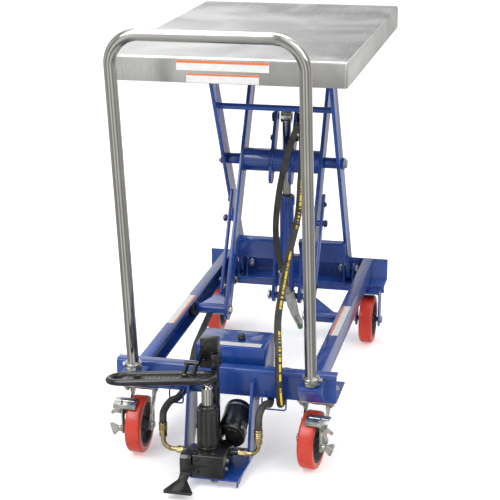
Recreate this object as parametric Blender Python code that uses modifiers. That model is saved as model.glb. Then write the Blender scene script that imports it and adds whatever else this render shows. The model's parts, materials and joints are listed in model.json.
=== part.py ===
"""Mobile scissor lift table with a foot pump, modelled at real size, raised, in metres with +Z up.

X runs across the table, Y from the push handle to the rear, and Z up from the floor. Inside the
functions every Y is measured back from the front face of the front cross member: FRONT_Y turns
that into the model's own frame, whose origin is at the middle of the table's footprint.
"""

import math

import bmesh
import bpy
from mathutils import Matrix, Vector

# ---------------------------------------------------------------- driving dimensions
FRONT_Y = -0.30953        # front face of the front cross member
GAP = 0.0003              # kept between pieces that touch
SHEET = 0.003             # pressed steel sheet

DECK_WIDTH = 0.500
DECK_LENGTH = 0.810
DECK_FRONT = 0.0295
DECK_TOP = 0.8684
SKIRT = 0.0533

MEMBER_HALF = 0.2418      # half width of the front cross member
MEMBER_BOTTOM = 0.1454
MEMBER_TOP = 0.2098
TRAY_DEPTH = 0.1175

RAIL_INNER = 0.177
RAIL_OUTER = 0.203
RAIL_BOTTOM = 0.1515
RAIL_TOP = 0.2006
RAIL_SHEET = 0.0035
REAR_WEB = 0.8323
REAR_FLANGE_TOP = 0.1465

PIVOT_Y = 0.8008          # fixed pivots of both pairs of legs
LOW_Z = 0.1765            # lower pivots
HIGH_Z = 0.8455           # upper pivots
ROLL_Y = 0.4314           # rolling ends, table raised
LEG_WIDTH = 0.050
LEG_SHEET = 0.0086
OUTER_LEG = 0.148         # outside face of the outer legs
INNER_LEG = 0.1035        # outside face of the inner legs
LEG_TIP = 0.0135          # radius of the slim upper ends
TIP_TAPER = 0.062

LOW_ROLLER = 0.0203
HIGH_ROLLER = 0.0125

WHEEL_RADIUS = 0.0625
WHEEL_HALF = 0.017
FRONT_WHEEL_Y = -0.0058
SWIVEL_Y = 0.042
CASTER_X = {"left": -0.1914, "right": 0.1974}     # swivel axes
CASTER_TURN = {"left": 0.0, "right": -6.5}        # degrees, as the casters were left standing
REAR_WHEEL = (0.2038, 0.7427)
AXLE = 0.006

CYLINDER_FOOT = (0.675, 0.135)
CYLINDER_HEAD = (0.666, 0.612)
BARREL_LENGTH = 0.268
HOSE = 0.0078

PEDAL_PIVOT = (-0.064, 0.240)
PUMP_AXIS = (-0.0113, -0.105)
RELEASE_PIVOT = (-0.126, 0.046)

BLUE = ("blue_paint", (0.03, 0.09, 0.32, 1), 0.30, 0.1)
BLACK = ("black_paint", (0.02, 0.02, 0.02, 1), 0.45, 0.2)
ZINC = ("zinc_plate", (0.62, 0.62, 0.58, 1), 0.35, 0.9)
CHROME = ("chrome", (0.75, 0.75, 0.73, 1), 0.12, 1.0)
RED = ("red_polyurethane", (0.62, 0.045, 0.02, 1), 0.35, 0.0)
HUB = ("black_hub", (0.02, 0.02, 0.02, 1), 0.5, 0.1)
BRASS = ("yellow_zinc", (0.72, 0.58, 0.30, 1), 0.30, 0.9)
RUBBER = ("hose_rubber", (0.04, 0.04, 0.035, 1), 0.6, 0.0)
STAINLESS = ("stainless_steel", (0.66, 0.66, 0.64, 1), 0.22, 1.0)
GREY = ("bare_casting", (0.52, 0.52, 0.50, 1), 0.5, 0.5)

TABLE = None
CUTTERS = None
HOLDERS = {}


# ---------------------------------------------------------------- scene and materials
def clear_scene():
    for obj in list(bpy.data.objects):
        bpy.data.objects.remove(obj, do_unlink=True)


def new_collection(name, hidden):
    group = bpy.data.collections.new(name)
    group.hide_render = hidden
    bpy.context.scene.collection.children.link(group)
    return group


def paint(finish):
    name, colour, roughness, metallic = finish
    found = bpy.data.materials.get(name)
    if found:
        return found
    made = bpy.data.materials.new(name)
    made.use_nodes = True
    shader = made.node_tree.nodes["Principled BSDF"]
    shader.inputs["Base Color"].default_value = colour
    shader.inputs["Roughness"].default_value = roughness
    shader.inputs["Metallic"].default_value = metallic
    return made


def at(x, y, z):
    """A point given with y measured back from the front cross member."""
    return Vector((x, y + FRONT_Y, z))


def holder(name, x, y, z):
    """An empty on a joint's axis, which its moving pieces hang from."""
    empty = bpy.data.objects.new(name, None)
    empty.empty_display_size = 0.03
    empty.location = at(x, y, z)
    TABLE.objects.link(empty)
    bpy.context.view_layer.update()
    HOLDERS[name] = empty
    return empty


def hang(obj, name):
    """Parents a piece to its joint's empty and leaves it where it is."""
    empty = HOLDERS[name]
    bpy.context.view_layer.update()
    world = obj.matrix_world.copy()
    obj.parent = empty
    obj.matrix_parent_inverse = empty.matrix_world.inverted()
    obj.matrix_world = world
    return obj


def dress(obj, finish):
    obj.data.materials.clear()
    obj.data.materials.append(paint(finish))
    obj.data.shade_smooth()
    obj.data.set_sharp_from_angle(angle=math.radians(35))
    return obj


# ---------------------------------------------------------------- shapes
def mesh_object(name, build, matrix):
    mesh = bpy.data.meshes.new(name)
    work = bmesh.new()
    build(work)
    bmesh.ops.recalc_face_normals(work, faces=work.faces)
    work.to_mesh(mesh)
    work.free()
    obj = bpy.data.objects.new(name, mesh)
    obj.matrix_world = matrix
    TABLE.objects.link(obj)
    return obj


def soften(obj, width, segments=2, angle=40):
    modifier = obj.modifiers.new("edges", "BEVEL")
    modifier.width = width
    modifier.segments = segments
    modifier.limit_method = "ANGLE"
    modifier.angle_limit = math.radians(angle)
    return obj


def block(name, low, high, edge=0.0, segments=2):
    """A box between two corners, with its edges rounded when edge is given."""
    low, high = at(*low), at(*high)
    size = high - low

    def build(work):
        bmesh.ops.create_cube(work, size=1.0)
        bmesh.ops.scale(work, vec=size, verts=work.verts)

    obj = mesh_object(name, build, Matrix.Translation((low + high) / 2))
    if edge:
        soften(obj, edge, segments)
    return obj


def rod(name, start, end, radius, sides=20, end_radius=None):
    """A round bar between two points, or a cone when the ends' radii differ."""
    start, end = at(*start), at(*end)
    along = end - start

    def build(work):
        bmesh.ops.create_cone(
            work, cap_ends=True, segments=sides, radius1=radius,
            radius2=radius if end_radius is None else end_radius, depth=along.length,
        )

    turn = along.to_track_quat("Z", "Y").to_matrix().to_4x4()
    return mesh_object(name, build, Matrix.Translation((start + end) / 2) @ turn)


def turned(name, profile, centre, sides, flat_down=False):
    """A ring turned about the X axis. profile is a closed loop of (distance along X, radius)."""
    doubled_area = sum(
        first[0] * second[1] - second[0] * first[1]
        for first, second in zip(profile, profile[1:] + profile[:1])
    )
    if doubled_area > 0:
        profile = profile[::-1]

    def build(work):
        corners = [work.verts.new((radius, 0, -along)) for along, radius in profile]
        for index, corner in enumerate(corners):
            work.edges.new((corner, corners[(index + 1) % len(corners)]))

    roll = Matrix.Rotation(math.pi / sides if flat_down else 0, 4, "X")
    turn = Matrix.Rotation(-math.pi / 2, 4, "Y")
    obj = mesh_object(name, build, Matrix.Translation(at(*centre)) @ roll @ turn)
    screw = obj.modifiers.new("turn", "SCREW")
    screw.axis = "Z"
    screw.steps = sides
    screw.render_steps = sides
    screw.use_merge_vertices = True
    screw.merge_threshold = 0.00005
    return obj


def solid_from_curve(curve, matrix):
    """Makes a curve a mesh with its caps welded on, so that it can be cut and joined."""
    name = curve.name
    curve.name = name + "_curve"
    made = bpy.data.objects.new(name + "_guide", curve)
    made.matrix_world = matrix
    TABLE.objects.link(made)
    bpy.context.view_layer.update()
    graph = bpy.context.evaluated_depsgraph_get()
    mesh = bpy.data.meshes.new_from_object(made.evaluated_get(graph))
    work = bmesh.new()
    work.from_mesh(mesh)
    bmesh.ops.remove_doubles(work, verts=work.verts, dist=1e-6)
    bmesh.ops.recalc_face_normals(work, faces=work.faces)
    work.to_mesh(mesh)
    work.free()
    mesh.name = name
    obj = bpy.data.objects.new(name, mesh)
    obj.matrix_world = matrix
    TABLE.objects.link(obj)
    bpy.data.objects.remove(made, do_unlink=True)
    bpy.data.curves.remove(curve)
    return obj


def plate(name, outlines, across, low, high):
    """A flat outline, with holes after it, given a thickness from low to high along an axis.

    Points are (y, z) across X, (x, z) across Y, and (x, y) across Z.
    """
    curve = bpy.data.curves.new(name, "CURVE")
    curve.dimensions = "2D"
    curve.fill_mode = "BOTH"
    curve.extrude = (high - low) / 2
    for outline in outlines:
        spline = curve.splines.new("POLY")
        spline.points.add(len(outline) - 1)
        for point, (first, second) in zip(spline.points, outline):
            point.co = (first, second, 0, 1)
        spline.use_cyclic_u = True
    middle = (low + high) / 2
    if across == "X":
        matrix = Matrix(((0, 0, 1, middle), (1, 0, 0, FRONT_Y), (0, 1, 0, 0), (0, 0, 0, 1)))
    elif across == "Y":
        matrix = Matrix(((1, 0, 0, 0), (0, 0, -1, middle + FRONT_Y), (0, 1, 0, 0), (0, 0, 0, 1)))
    else:
        matrix = Matrix.Translation((0, FRONT_Y, middle))
    return solid_from_curve(curve, matrix)


def tube(name, points, radius, resolution=3, closed=False):
    """A round tube along points (x, y, z), with filled ends."""
    curve = bpy.data.curves.new(name, "CURVE")
    curve.dimensions = "3D"
    curve.bevel_depth = radius
    curve.bevel_resolution = resolution
    curve.use_fill_caps = not closed
    spline = curve.splines.new("POLY")
    spline.points.add(len(points) - 1)
    for point, place in zip(spline.points, points):
        point.co = (*at(*place), 1)
    spline.use_cyclic_u = closed
    return solid_from_curve(curve, Matrix.Identity(4))


def use_as_tool(tool):
    for group in list(tool.users_collection):
        group.objects.unlink(tool)
    CUTTERS.objects.link(tool)
    tool.hide_render = True
    tool.display_type = "WIRE"


def combine(obj, tools, operation):
    for tool in tools:
        modifier = obj.modifiers.new(tool.name, "BOOLEAN")
        modifier.operation = operation
        modifier.solver = "EXACT"
        modifier.object = tool
        use_as_tool(tool)
    return obj


def join(obj, *tools):
    return combine(obj, tools, "UNION")


def cut(obj, *tools):
    return combine(obj, tools, "DIFFERENCE")


# ---------------------------------------------------------------- outlines
def arc(centre, radius, start, end, count):
    """count + 1 points of an arc, from one angle to another in degrees."""
    points = []
    for step in range(count + 1):
        angle = math.radians(start + (end - start) * step / count)
        points.append((centre[0] + radius * math.cos(angle), centre[1] + radius * math.sin(angle)))
    return points


def circle(centre, radius, sides=16):
    return arc(centre, radius, 0, 360, sides)[:-1]


def filleted(points, radius, steps=3):
    """The outline of a polygon with each corner rounded to radius, or to as much as fits."""
    rounded = []
    count = len(points)
    for index, point in enumerate(points):
        here = Vector(point)
        back = Vector(points[index - 1]) - here
        ahead = Vector(points[(index + 1) % count]) - here
        half = back.angle(ahead) / 2
        reach = min(radius / math.tan(half), 0.45 * back.length, 0.45 * ahead.length)
        start = here + back.normalized() * reach
        end = here + ahead.normalized() * reach
        for step in range(steps + 1):
            blend = step / steps
            curved = start * (1 - blend) ** 2 + here * 2 * blend * (1 - blend) + end * blend ** 2
            rounded.append(tuple(curved))
    return rounded


def folded_sheet(points, thickness):
    """The closed outline of a bent sheet, from the line of its outer face and its thickness."""
    outer = [Vector(point) for point in points]
    normals = []
    for index in range(len(outer) - 1):
        along = (outer[index + 1] - outer[index]).normalized()
        normals.append(Vector((-along.y, along.x)))
    inner = []
    for index, point in enumerate(outer):
        before = normals[max(index - 1, 0)]
        after = normals[min(index, len(normals) - 1)]
        mean = (before + after).normalized()
        inner.append(point + mean * thickness / max(mean.dot(before), 0.2))
    return [tuple(point) for point in outer + inner[::-1]]


def bar_outline(start, end, start_radius, end_radius, width, taper=0.0, steps=8):
    """A flat bar between two centres with round ends; its last stretch narrows over taper."""
    first, last = Vector(start), Vector(end)
    along = (last - first).normalized()
    side = Vector((-along.y, along.x))
    turn = math.degrees(math.atan2(along.y, along.x))
    points = arc(start, start_radius, turn + 90, turn + 270, steps)
    if taper:
        neck = last - along * taper
        points.append(tuple(neck - side * width / 2))
    points += arc(end, end_radius, turn - 90, turn + 90, steps)
    if taper:
        points.append(tuple(neck + side * width / 2))
    return points


def smooth_route(points, spacing):
    """Points at an even spacing on a smooth curve through the given ones."""
    route = [Vector(point) for point in points]
    route = [2 * route[0] - route[1]] + route + [2 * route[-1] - route[-2]]
    fine = []
    for index in range(1, len(route) - 2):
        before, start, end, after = route[index - 1:index + 3]
        for step in range(24):
            u = step / 24
            fine.append(0.5 * (
                2 * start + (end - before) * u
                + (2 * before - 5 * start + 4 * end - after) * u * u
                + (3 * start - before - 3 * end + after) * u ** 3
            ))
    fine.append(route[-2])
    total = sum((after - before).length for before, after in zip(fine, fine[1:]))
    count = max(2, round(total / spacing))
    wanted = [total * step / count for step in range(count + 1)]
    kept, travelled, place = [fine[0]], 0.0, 1
    for before, after in zip(fine, fine[1:]):
        length = (after - before).length
        while place < count and travelled + length >= wanted[place]:
            kept.append(before.lerp(after, (wanted[place] - travelled) / length))
            place += 1
        travelled += length
    kept.append(fine[-1])
    return [tuple(point) for point in kept]


def sides():
    return (("left", -1), ("right", 1))


def span(side, near, far):
    """A stretch of X from near to far from the middle, low end first."""
    return (near, far) if side > 0 else (-far, -near)


# ---------------------------------------------------------------- base frame
def front_cross_member():
    """A pressed channel whose bottom flange is a tray, with a socket for each handle leg."""
    bend = 0.009
    line = [(TRAY_DEPTH, MEMBER_BOTTOM), (0.004, MEMBER_BOTTOM), (0.0, MEMBER_BOTTOM + 0.004)]
    line += arc((bend, MEMBER_TOP - bend), bend, 180, 90, 5)
    line += [(0.024, MEMBER_TOP)]
    profile = folded_sheet(line[::-1], SHEET)
    member = plate("front_cross_member", [profile], "X", -MEMBER_HALF, MEMBER_HALF)
    for name, side in sides():
        middle = 0.1925 * side
        foot = [(0.001, 0.154), (0.001, 0.197), (-0.044, 0.197), (-0.044, 0.188), (-0.012, 0.1525)]
        lower = plate("socket_" + name, [foot], "X", middle - 0.026, middle + 0.026)
        join(member, lower)
    return dress(member, BLUE)


def rear_cross_member():
    """A web, a flange with a lip, and the clevises of the outer legs' lower pivots."""
    line = [(REAR_WEB, 0.1997), (REAR_WEB, REAR_FLANGE_TOP - SHEET)]
    line += [(0.769, REAR_FLANGE_TOP - SHEET), (0.769, 0.127)]
    profile = folded_sheet(line[::-1], SHEET)
    member = plate("rear_cross_member", [profile], "X", -0.2412, 0.2412)
    for name, side in sides():
        ear = [(PIVOT_Y - 0.016, REAR_FLANGE_TOP - 0.001), (PIVOT_Y + 0.016, REAR_FLANGE_TOP - 0.001)]
        ear += arc((PIVOT_Y, LOW_Z), 0.016, 0, 180, 8)
        for place, (near, far) in (("in", (0.129, 0.1345)), ("out", (0.1525, 0.158))):
            join(member, plate("ear_" + place + "_" + name, [ear], "X", *span(side, near, far)))
        near, far = span(side, 0.122, 0.162)
        join(member, rod("pin_" + name, (near, PIVOT_Y, LOW_Z), (far, PIVOT_Y, LOW_Z), 0.007, 16))
    return dress(member, BLUE)


def rails():
    for name, side in sides():
        inner, outer = RAIL_INNER * side, RAIL_OUTER * side
        back = (RAIL_OUTER - RAIL_SHEET) * side
        low, high = RAIL_BOTTOM, RAIL_TOP
        profile = [
            (inner, low), (outer, low), (outer, high), (inner, high),
            (inner, high - RAIL_SHEET), (back, high - RAIL_SHEET),
            (back, low + RAIL_SHEET), (inner, low + RAIL_SHEET),
        ]
        rail = plate("rail_" + name, [profile], "Y", SHEET + 2 * GAP, REAR_WEB - SHEET - GAP)
        dress(rail, BLUE)


def rear_forks():
    wheel_x, wheel_y = REAR_WHEEL
    top = REAR_FLANGE_TOP - SHEET - GAP
    for name, side in sides():
        cheek = [(wheel_y - 0.019, 0.0625), (wheel_y - 0.014, 0.128), (wheel_y - 0.03, top),
                 (0.7655, top), (0.7655, 0.120), (wheel_y + 0.019, 0.0625)]
        cheek += arc((wheel_y, 0.0625), 0.019, -20, -160, 6)
        outside = span(side, wheel_x + 0.0275, wheel_x + 0.0315)
        inside = span(side, wheel_x - 0.0315, wheel_x - 0.0275)
        fork = plate("rear_wheel_fork_" + name, [cheek], "X", *outside)
        near, far = span(side, wheel_x - 0.0315, wheel_x + 0.0315)
        join(
            fork,
            plate("cheek_" + name, [cheek], "X", *inside),
            block("bridge_" + name, (near + 0.001, wheel_y - 0.028, top - 0.004),
                  (far - 0.001, 0.7650, top - 0.0002)),
            rod("rear_axle_" + name, (near - 0.004, wheel_y, WHEEL_RADIUS),
                (far + 0.004, wheel_y, WHEEL_RADIUS), AXLE, 14),
        )
        dress(fork, BLUE)


# ---------------------------------------------------------------- wheels
def wheel(name, x, y, parent):
    """A polyurethane tyre on a hub that is recessed towards its bore."""
    rim, half = 0.0488, WHEEL_HALF
    facets = 32
    outer = WHEEL_RADIUS / math.cos(math.pi / facets)
    tread = [
        (-half, rim), (-half, outer - 0.0065), (-half + 0.0025, outer - 0.0022), (-half + 0.008, outer),
        (half - 0.008, outer), (half - 0.0025, outer - 0.0022), (half, outer - 0.0065), (half, rim),
    ]
    tyre = turned(name + "_tyre", tread, (x, y, WHEEL_RADIUS), facets, flat_down=True)
    edge = rim * math.cos(math.pi / facets) - GAP
    disc = [
        (-half, edge), (-half, edge - 0.007), (-0.006, edge - 0.011), (-0.006, 0.017), (-0.0205, 0.013),
        (-0.0205, AXLE + 0.0004), (0.0205, AXLE + 0.0004), (0.0205, 0.013), (0.006, 0.017),
        (0.006, edge - 0.011), (half, edge - 0.007), (half, edge),
    ]
    hub = turned(name + "_hub", disc, (x, y, WHEEL_RADIUS), 24)
    holder(parent, x, y, WHEEL_RADIUS)
    hang(dress(tyre, RED), parent)
    hang(dress(hub, HUB), parent)


def caster(name, side):
    """A swivelling fork under its mounting plate, with a braked wheel."""
    x, y = CASTER_X[name], FRONT_WHEEL_Y
    top = MEMBER_BOTTOM - GAP
    mount = block("caster_plate_" + name, (x - 0.040, SWIVEL_Y - 0.038, top - 0.0035),
                  (x + 0.040, SWIVEL_Y + 0.042, top))
    join(mount, rod("bearing_" + name, (x, SWIVEL_Y, top - 0.0075), (x, SWIVEL_Y, top - 0.001), 0.024, 20))
    dress(mount, ZINC)
    earlier = set(bpy.data.objects)
    holder("caster_swivel_" + name, x, SWIVEL_Y, 0.13)
    crown_top = top - 0.0078
    crown = block("caster_fork_" + name, (x - 0.0258, SWIVEL_Y - 0.022, crown_top - 0.004),
                  (x + 0.0258, SWIVEL_Y + 0.022, crown_top))
    cheek = [(y - 0.011, WHEEL_RADIUS), (SWIVEL_Y - 0.030, 0.128), (SWIVEL_Y - 0.020, crown_top - 0.0005),
             (SWIVEL_Y + 0.016, crown_top - 0.0005), (y + 0.020, 0.085), (y + 0.013, WHEEL_RADIUS)]
    cheek += arc((y, WHEEL_RADIUS), 0.013, -20, -160, 6)
    for place, near in (("low", x - 0.0262), ("high", x + 0.0232)):
        join(crown, plate("cheek_" + place + "_" + name, [cheek], "X", near, near + 0.003))
    reach = 0.0262 + 0.0065
    join(
        crown,
        rod("axle_" + name, (x - reach, y, WHEEL_RADIUS), (x + reach, y, WHEEL_RADIUS), AXLE, 14),
        rod("axle_head_" + name, (x - reach, y, WHEEL_RADIUS), (x - 0.026, y, WHEEL_RADIUS), 0.0098, 6),
        rod("axle_nut_" + name, (x + 0.026, y, WHEEL_RADIUS), (x + reach, y, WHEEL_RADIUS), 0.0098, 6),
    )
    hang(dress(crown, ZINC), "caster_swivel_" + name)
    brake_lever(name, side, x, y)
    wheel("front_wheel_" + name, x, y, "front_wheel_spin_" + name)
    bpy.context.view_layer.update()
    centre = at(x, SWIVEL_Y, 0)
    turn = Matrix.Rotation(math.radians(CASTER_TURN[name]), 4, "Z")
    turn = Matrix.Translation(centre) @ turn @ Matrix.Translation(-centre)
    for obj in bpy.data.objects:
        if obj not in earlier and obj.parent is None:
            obj.matrix_world = turn @ obj.matrix_world


def brake_lever(name, side, x, y):
    """A toe lever outside the fork, whose arm carries a shoe plate over the tread."""
    near, far = x + 0.0268 * side, x + 0.0298 * side
    pivot = (y - 0.010, 0.1000)
    arm = filleted([(y - 0.022, 0.092), (y + 0.004, 0.092), (y + 0.004, 0.110), (y - 0.015, 0.1284),
                    (y - 0.042, 0.1284), (y - 0.042, 0.122)], 0.004)
    low, high = min(near, far), max(near, far)
    lever = plate("brake_lever_" + name, [arm], "X", low, high)
    inside = x - 0.022 * side
    shoe_low, shoe_high = min(inside, far), max(inside, far)
    tip = x + 0.058 * side
    toe_low, toe_high = min(near, tip), max(near, tip)
    join(
        lever,
        block("shoe_" + name, (shoe_low, y - 0.041, 0.1255), (shoe_high, y - 0.016, 0.1275)),
        block("toe_" + name, (toe_low, y - 0.021, 0.0945), (toe_high, y - 0.002, 0.0975)),
    )
    holder("brake_pivot_" + name, x, *pivot)
    hang(dress(lever, ZINC), "brake_pivot_" + name)


# ---------------------------------------------------------------- scissor legs
def leg_centre():
    return ((PIVOT_Y + ROLL_Y) / 2, (LOW_Z + HIGH_Z) / 2)


def legs():
    centre = leg_centre()
    holder("fold", 0, PIVOT_Y, LOW_Z)
    holder("leg_cross", 0, *centre)
    width, taper = LEG_WIDTH, TIP_TAPER
    for name, side in sides():
        foot, head = (PIVOT_Y, LOW_Z), (ROLL_Y, HIGH_Z)
        outline = bar_outline(foot, head, width / 2, LEG_TIP, width, taper)
        holes = [circle(foot, 0.0076), circle(centre, 0.0096)]
        near, far = span(side, OUTER_LEG - LEG_SHEET, OUTER_LEG)
        leg = plate("outer_leg_" + name, [outline] + holes, "X", near, far)
        near, far = span(side, OUTER_LEG - 0.004, 0.170)
        join(leg, rod("top_axle_" + name, (near, ROLL_Y, HIGH_Z), (far, ROLL_Y, HIGH_Z), 0.005, 12))
        hang(dress(leg, BLUE), "fold")

        foot, head = (ROLL_Y, LOW_Z), (PIVOT_Y, HIGH_Z)
        outline = bar_outline(foot, head, width / 2, LEG_TIP, width, taper)
        holes = [circle(head, 0.0066), circle(centre, 0.0096)]
        near, far = span(side, INNER_LEG - LEG_SHEET, INNER_LEG)
        leg = plate("inner_leg_" + name, [outline] + holes, "X", near, far)
        join(leg, *outrigger(name, side))
        hang(dress(leg, BLUE), "leg_cross")


def outrigger(name, side):
    """The arm that carries a rail roller out from the foot of an inner leg, and its gusset."""
    near, far = span(side, INNER_LEG - 0.004, RAIL_OUTER - RAIL_SHEET - 0.0025)
    axle = rod("roller_axle_" + name, (near, ROLL_Y, LOW_Z), (far, ROLL_Y, LOW_Z), 0.007, 16)
    near, far = span(side, INNER_LEG - 0.004, RAIL_INNER - 0.001)
    sleeve = rod("roller_sleeve_" + name, (near, ROLL_Y, LOW_Z), (far, ROLL_Y, LOW_Z), 0.013, 16)
    inner, outer = (INNER_LEG - 0.002) * side, (RAIL_INNER - 0.006) * side
    web = [(inner, -0.012), (outer, -0.008), (outer, 0.008), (inner, 0.056)]
    gusset = plate("gusset_" + name, [web], "Y", -0.003, 0.003)
    lean = math.atan2(PIVOT_Y - ROLL_Y, HIGH_Z - LOW_Z)
    pose = Matrix.Translation(at(0, ROLL_Y, LOW_Z)) @ Matrix.Rotation(-lean, 4, "X")
    gusset.matrix_world = pose @ Matrix.Translation((0, -FRONT_Y, 0)) @ gusset.matrix_world
    return axle, sleeve, gusset


def torque_tube():
    """The tube between the inner legs, its end pins and the two arms that the rod lifts."""
    y, z = leg_centre()
    tube_end = INNER_LEG - LEG_SHEET - GAP
    spacer = (INNER_LEG + GAP, OUTER_LEG - LEG_SHEET - GAP)
    main = rod("torque_tube", (-tube_end, y, z), (tube_end, y, z), 0.0285, 28)
    join(main, rod("cross_pin", (-0.1545, y, z), (0.1545, y, z), 0.009, 20))
    for name, side in sides():
        near, far = span(side, *spacer)
        join(main, rod("spacer_" + name, (near, y, z), (far, y, z), 0.0135, 20))
        near, far = span(side, OUTER_LEG + GAP, OUTER_LEG + 0.006)
        join(main, rod("cap_" + name, (near, y, z), (far, y, z), 0.0145, 20))
        tail = (y - 0.020, z - 0.036)
        outline = bar_outline(tail, CYLINDER_HEAD, 0.019, 0.0185, 0.038, steps=6)
        near, far = span(side, 0.0215, 0.0285)
        arm = plate("arm_" + name, [outline, circle(CYLINDER_HEAD, 0.0095)], "X", near, far)
        join(main, arm)
    hang(dress(main, BLUE), "leg_cross")


def tie_tube():
    along = Vector((ROLL_Y - PIVOT_Y, HIGH_Z - LOW_Z)).normalized()
    place = Vector(leg_centre()) + along * 0.171
    reach = OUTER_LEG - LEG_SHEET - GAP
    bar = rod("tie_tube", (-reach, *place), (reach, *place), 0.0075, 16)
    hang(dress(bar, BLUE), "fold")


def cross_plate():
    """The channel that joins the outer legs low down, and the lugs of the lift cylinder."""
    along = Vector((ROLL_Y - PIVOT_Y, HIGH_Z - LOW_Z)).normalized()
    front = Vector((-along.y, along.x))
    origin = Vector((PIVOT_Y, LOW_Z))
    edge = LEG_WIDTH / 2 + GAP

    def spot(up, out):
        return tuple(origin + along * up + front * (edge + out))

    line = [spot(0.068, 0.0), spot(0.068, 0.018), spot(0.132, 0.018), spot(0.132, 0.0)]
    profile = folded_sheet(line[::-1], 0.005)
    bar = plate("cross_plate", [profile], "X", -0.1465, 0.1465)
    notch = [spot(0.084, -0.010), spot(0.084, 0.026), spot(0.150, 0.026), spot(0.150, -0.010)]
    cut(bar, plate("cylinder_notch", [notch], "X", -0.0245, 0.0245))
    foot = Vector(CYLINDER_FOOT)
    for name, side in sides():
        lug = [spot(0.130, 0.0155), spot(0.070, 0.0155)]
        down = (foot - Vector(spot(0.095, 0.016))).normalized()
        turn = math.degrees(math.atan2(down.y, down.x))
        lug += arc(CYLINDER_FOOT, 0.018, turn + 90, turn - 90, 8)
        near, far = span(side, 0.030, 0.038)
        join(bar, plate("lug_" + name, [lug], "X", near, far))
    join(bar, rod("cylinder_pin", (-0.0445, *CYLINDER_FOOT), (0.0445, *CYLINDER_FOOT), 0.0085, 16))
    hang(dress(bar, BLUE), "fold")


def lift_cylinder():
    foot, head = Vector(CYLINDER_FOOT), Vector(CYLINDER_HEAD)
    along = (head - foot).normalized()

    def spot(distance):
        return (0, *(foot + along * distance))

    holder("cylinder_pivot", 0, *CYLINDER_FOOT)
    barrel = rod("cylinder_barrel", spot(0.012), spot(BARREL_LENGTH), 0.018, 24)
    near, far = -0.019, 0.019
    join(
        barrel,
        rod("barrel_eye", (near, *CYLINDER_FOOT), (far, *CYLINDER_FOOT), 0.0165, 20),
        rod("gland", spot(BARREL_LENGTH - 0.020), spot(BARREL_LENGTH + 0.004), 0.0195, 24),
    )
    cut(
        barrel,
        rod("foot_bore", (-0.03, *CYLINDER_FOOT), (0.03, *CYLINDER_FOOT), 0.0090, 16),
        rod("rod_bore", spot(0.050), spot(BARREL_LENGTH + 0.02), 0.0117, 20),
    )
    hang(dress(barrel, BLUE), "cylinder_pivot")
    length = (head - foot).length
    eye = rod("cylinder_rod", spot(length - 0.249), spot(length - 0.006), 0.0110, 20)
    join(eye, rod("rod_eye", (-0.013, *CYLINDER_HEAD), (0.013, *CYLINDER_HEAD), 0.0155, 20))
    cut(eye, rod("head_bore", (-0.03, *CYLINDER_HEAD), (0.03, *CYLINDER_HEAD), 0.0085, 16))
    hang(dress(eye, CHROME), "cylinder_pivot")
    port = foot + along * 0.045
    valve = block("cylinder_valve", (-0.013, port.x - 0.046, port.y - 0.020),
                  (0.017, port.x - 0.0185, port.y + 0.030), 0.003)
    hang(dress(valve, GREY), "cylinder_pivot")


def rollers():
    for name, side in sides():
        near, far = span(side, 0.1795, 0.1945)
        middle, half = (near + far) / 2, (far - near) / 2
        loop = [(-half, LOW_ROLLER - 0.001), (-half, 0.0076), (half, 0.0076), (half, LOW_ROLLER - 0.001),
                (half - 0.002, LOW_ROLLER), (-half + 0.002, LOW_ROLLER)]
        low = turned("rail_roller_" + name, loop, (middle, ROLL_Y, LOW_Z), 24)
        holder("rail_roller_axle_" + name, middle, ROLL_Y, LOW_Z)
        hang(dress(low, HUB), "rail_roller_axle_" + name)
        near, far = span(side, 0.1530, 0.1660)
        middle, half = (near + far) / 2, (far - near) / 2
        loop = [(-half, HIGH_ROLLER), (-half, 0.0054), (half, 0.0054), (half, HIGH_ROLLER)]
        high = turned("deck_roller_" + name, loop, (middle, ROLL_Y, HIGH_Z), 24)
        holder("deck_roller_axle_" + name, middle, ROLL_Y, HIGH_Z)
        hang(dress(high, HUB), "deck_roller_axle_" + name)


def safety_props():
    """Bars on the inner legs that drop into the rails to block them while the table is serviced."""
    low_end, high_end = Vector((0.436, 0.221)), Vector((0.556, 0.439))
    pivot = tuple(low_end.lerp(high_end, 0.74))
    for name, side in sides():
        outline = bar_outline(low_end, high_end, 0.009, 0.009, 0.018, steps=5)
        near, far = span(side, 0.1120, 0.1180)
        prop = plate("safety_prop_" + name, [outline], "X", near, far)
        near, far = span(side, INNER_LEG + GAP, 0.1230)
        join(prop, rod("prop_bolt_" + name, (near, *pivot), (far, *pivot), 0.007, 12))
        holder("prop_pivot_" + name, 0.115 * side, *pivot)
        hang(dress(prop, BLUE), "prop_pivot_" + name)


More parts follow.
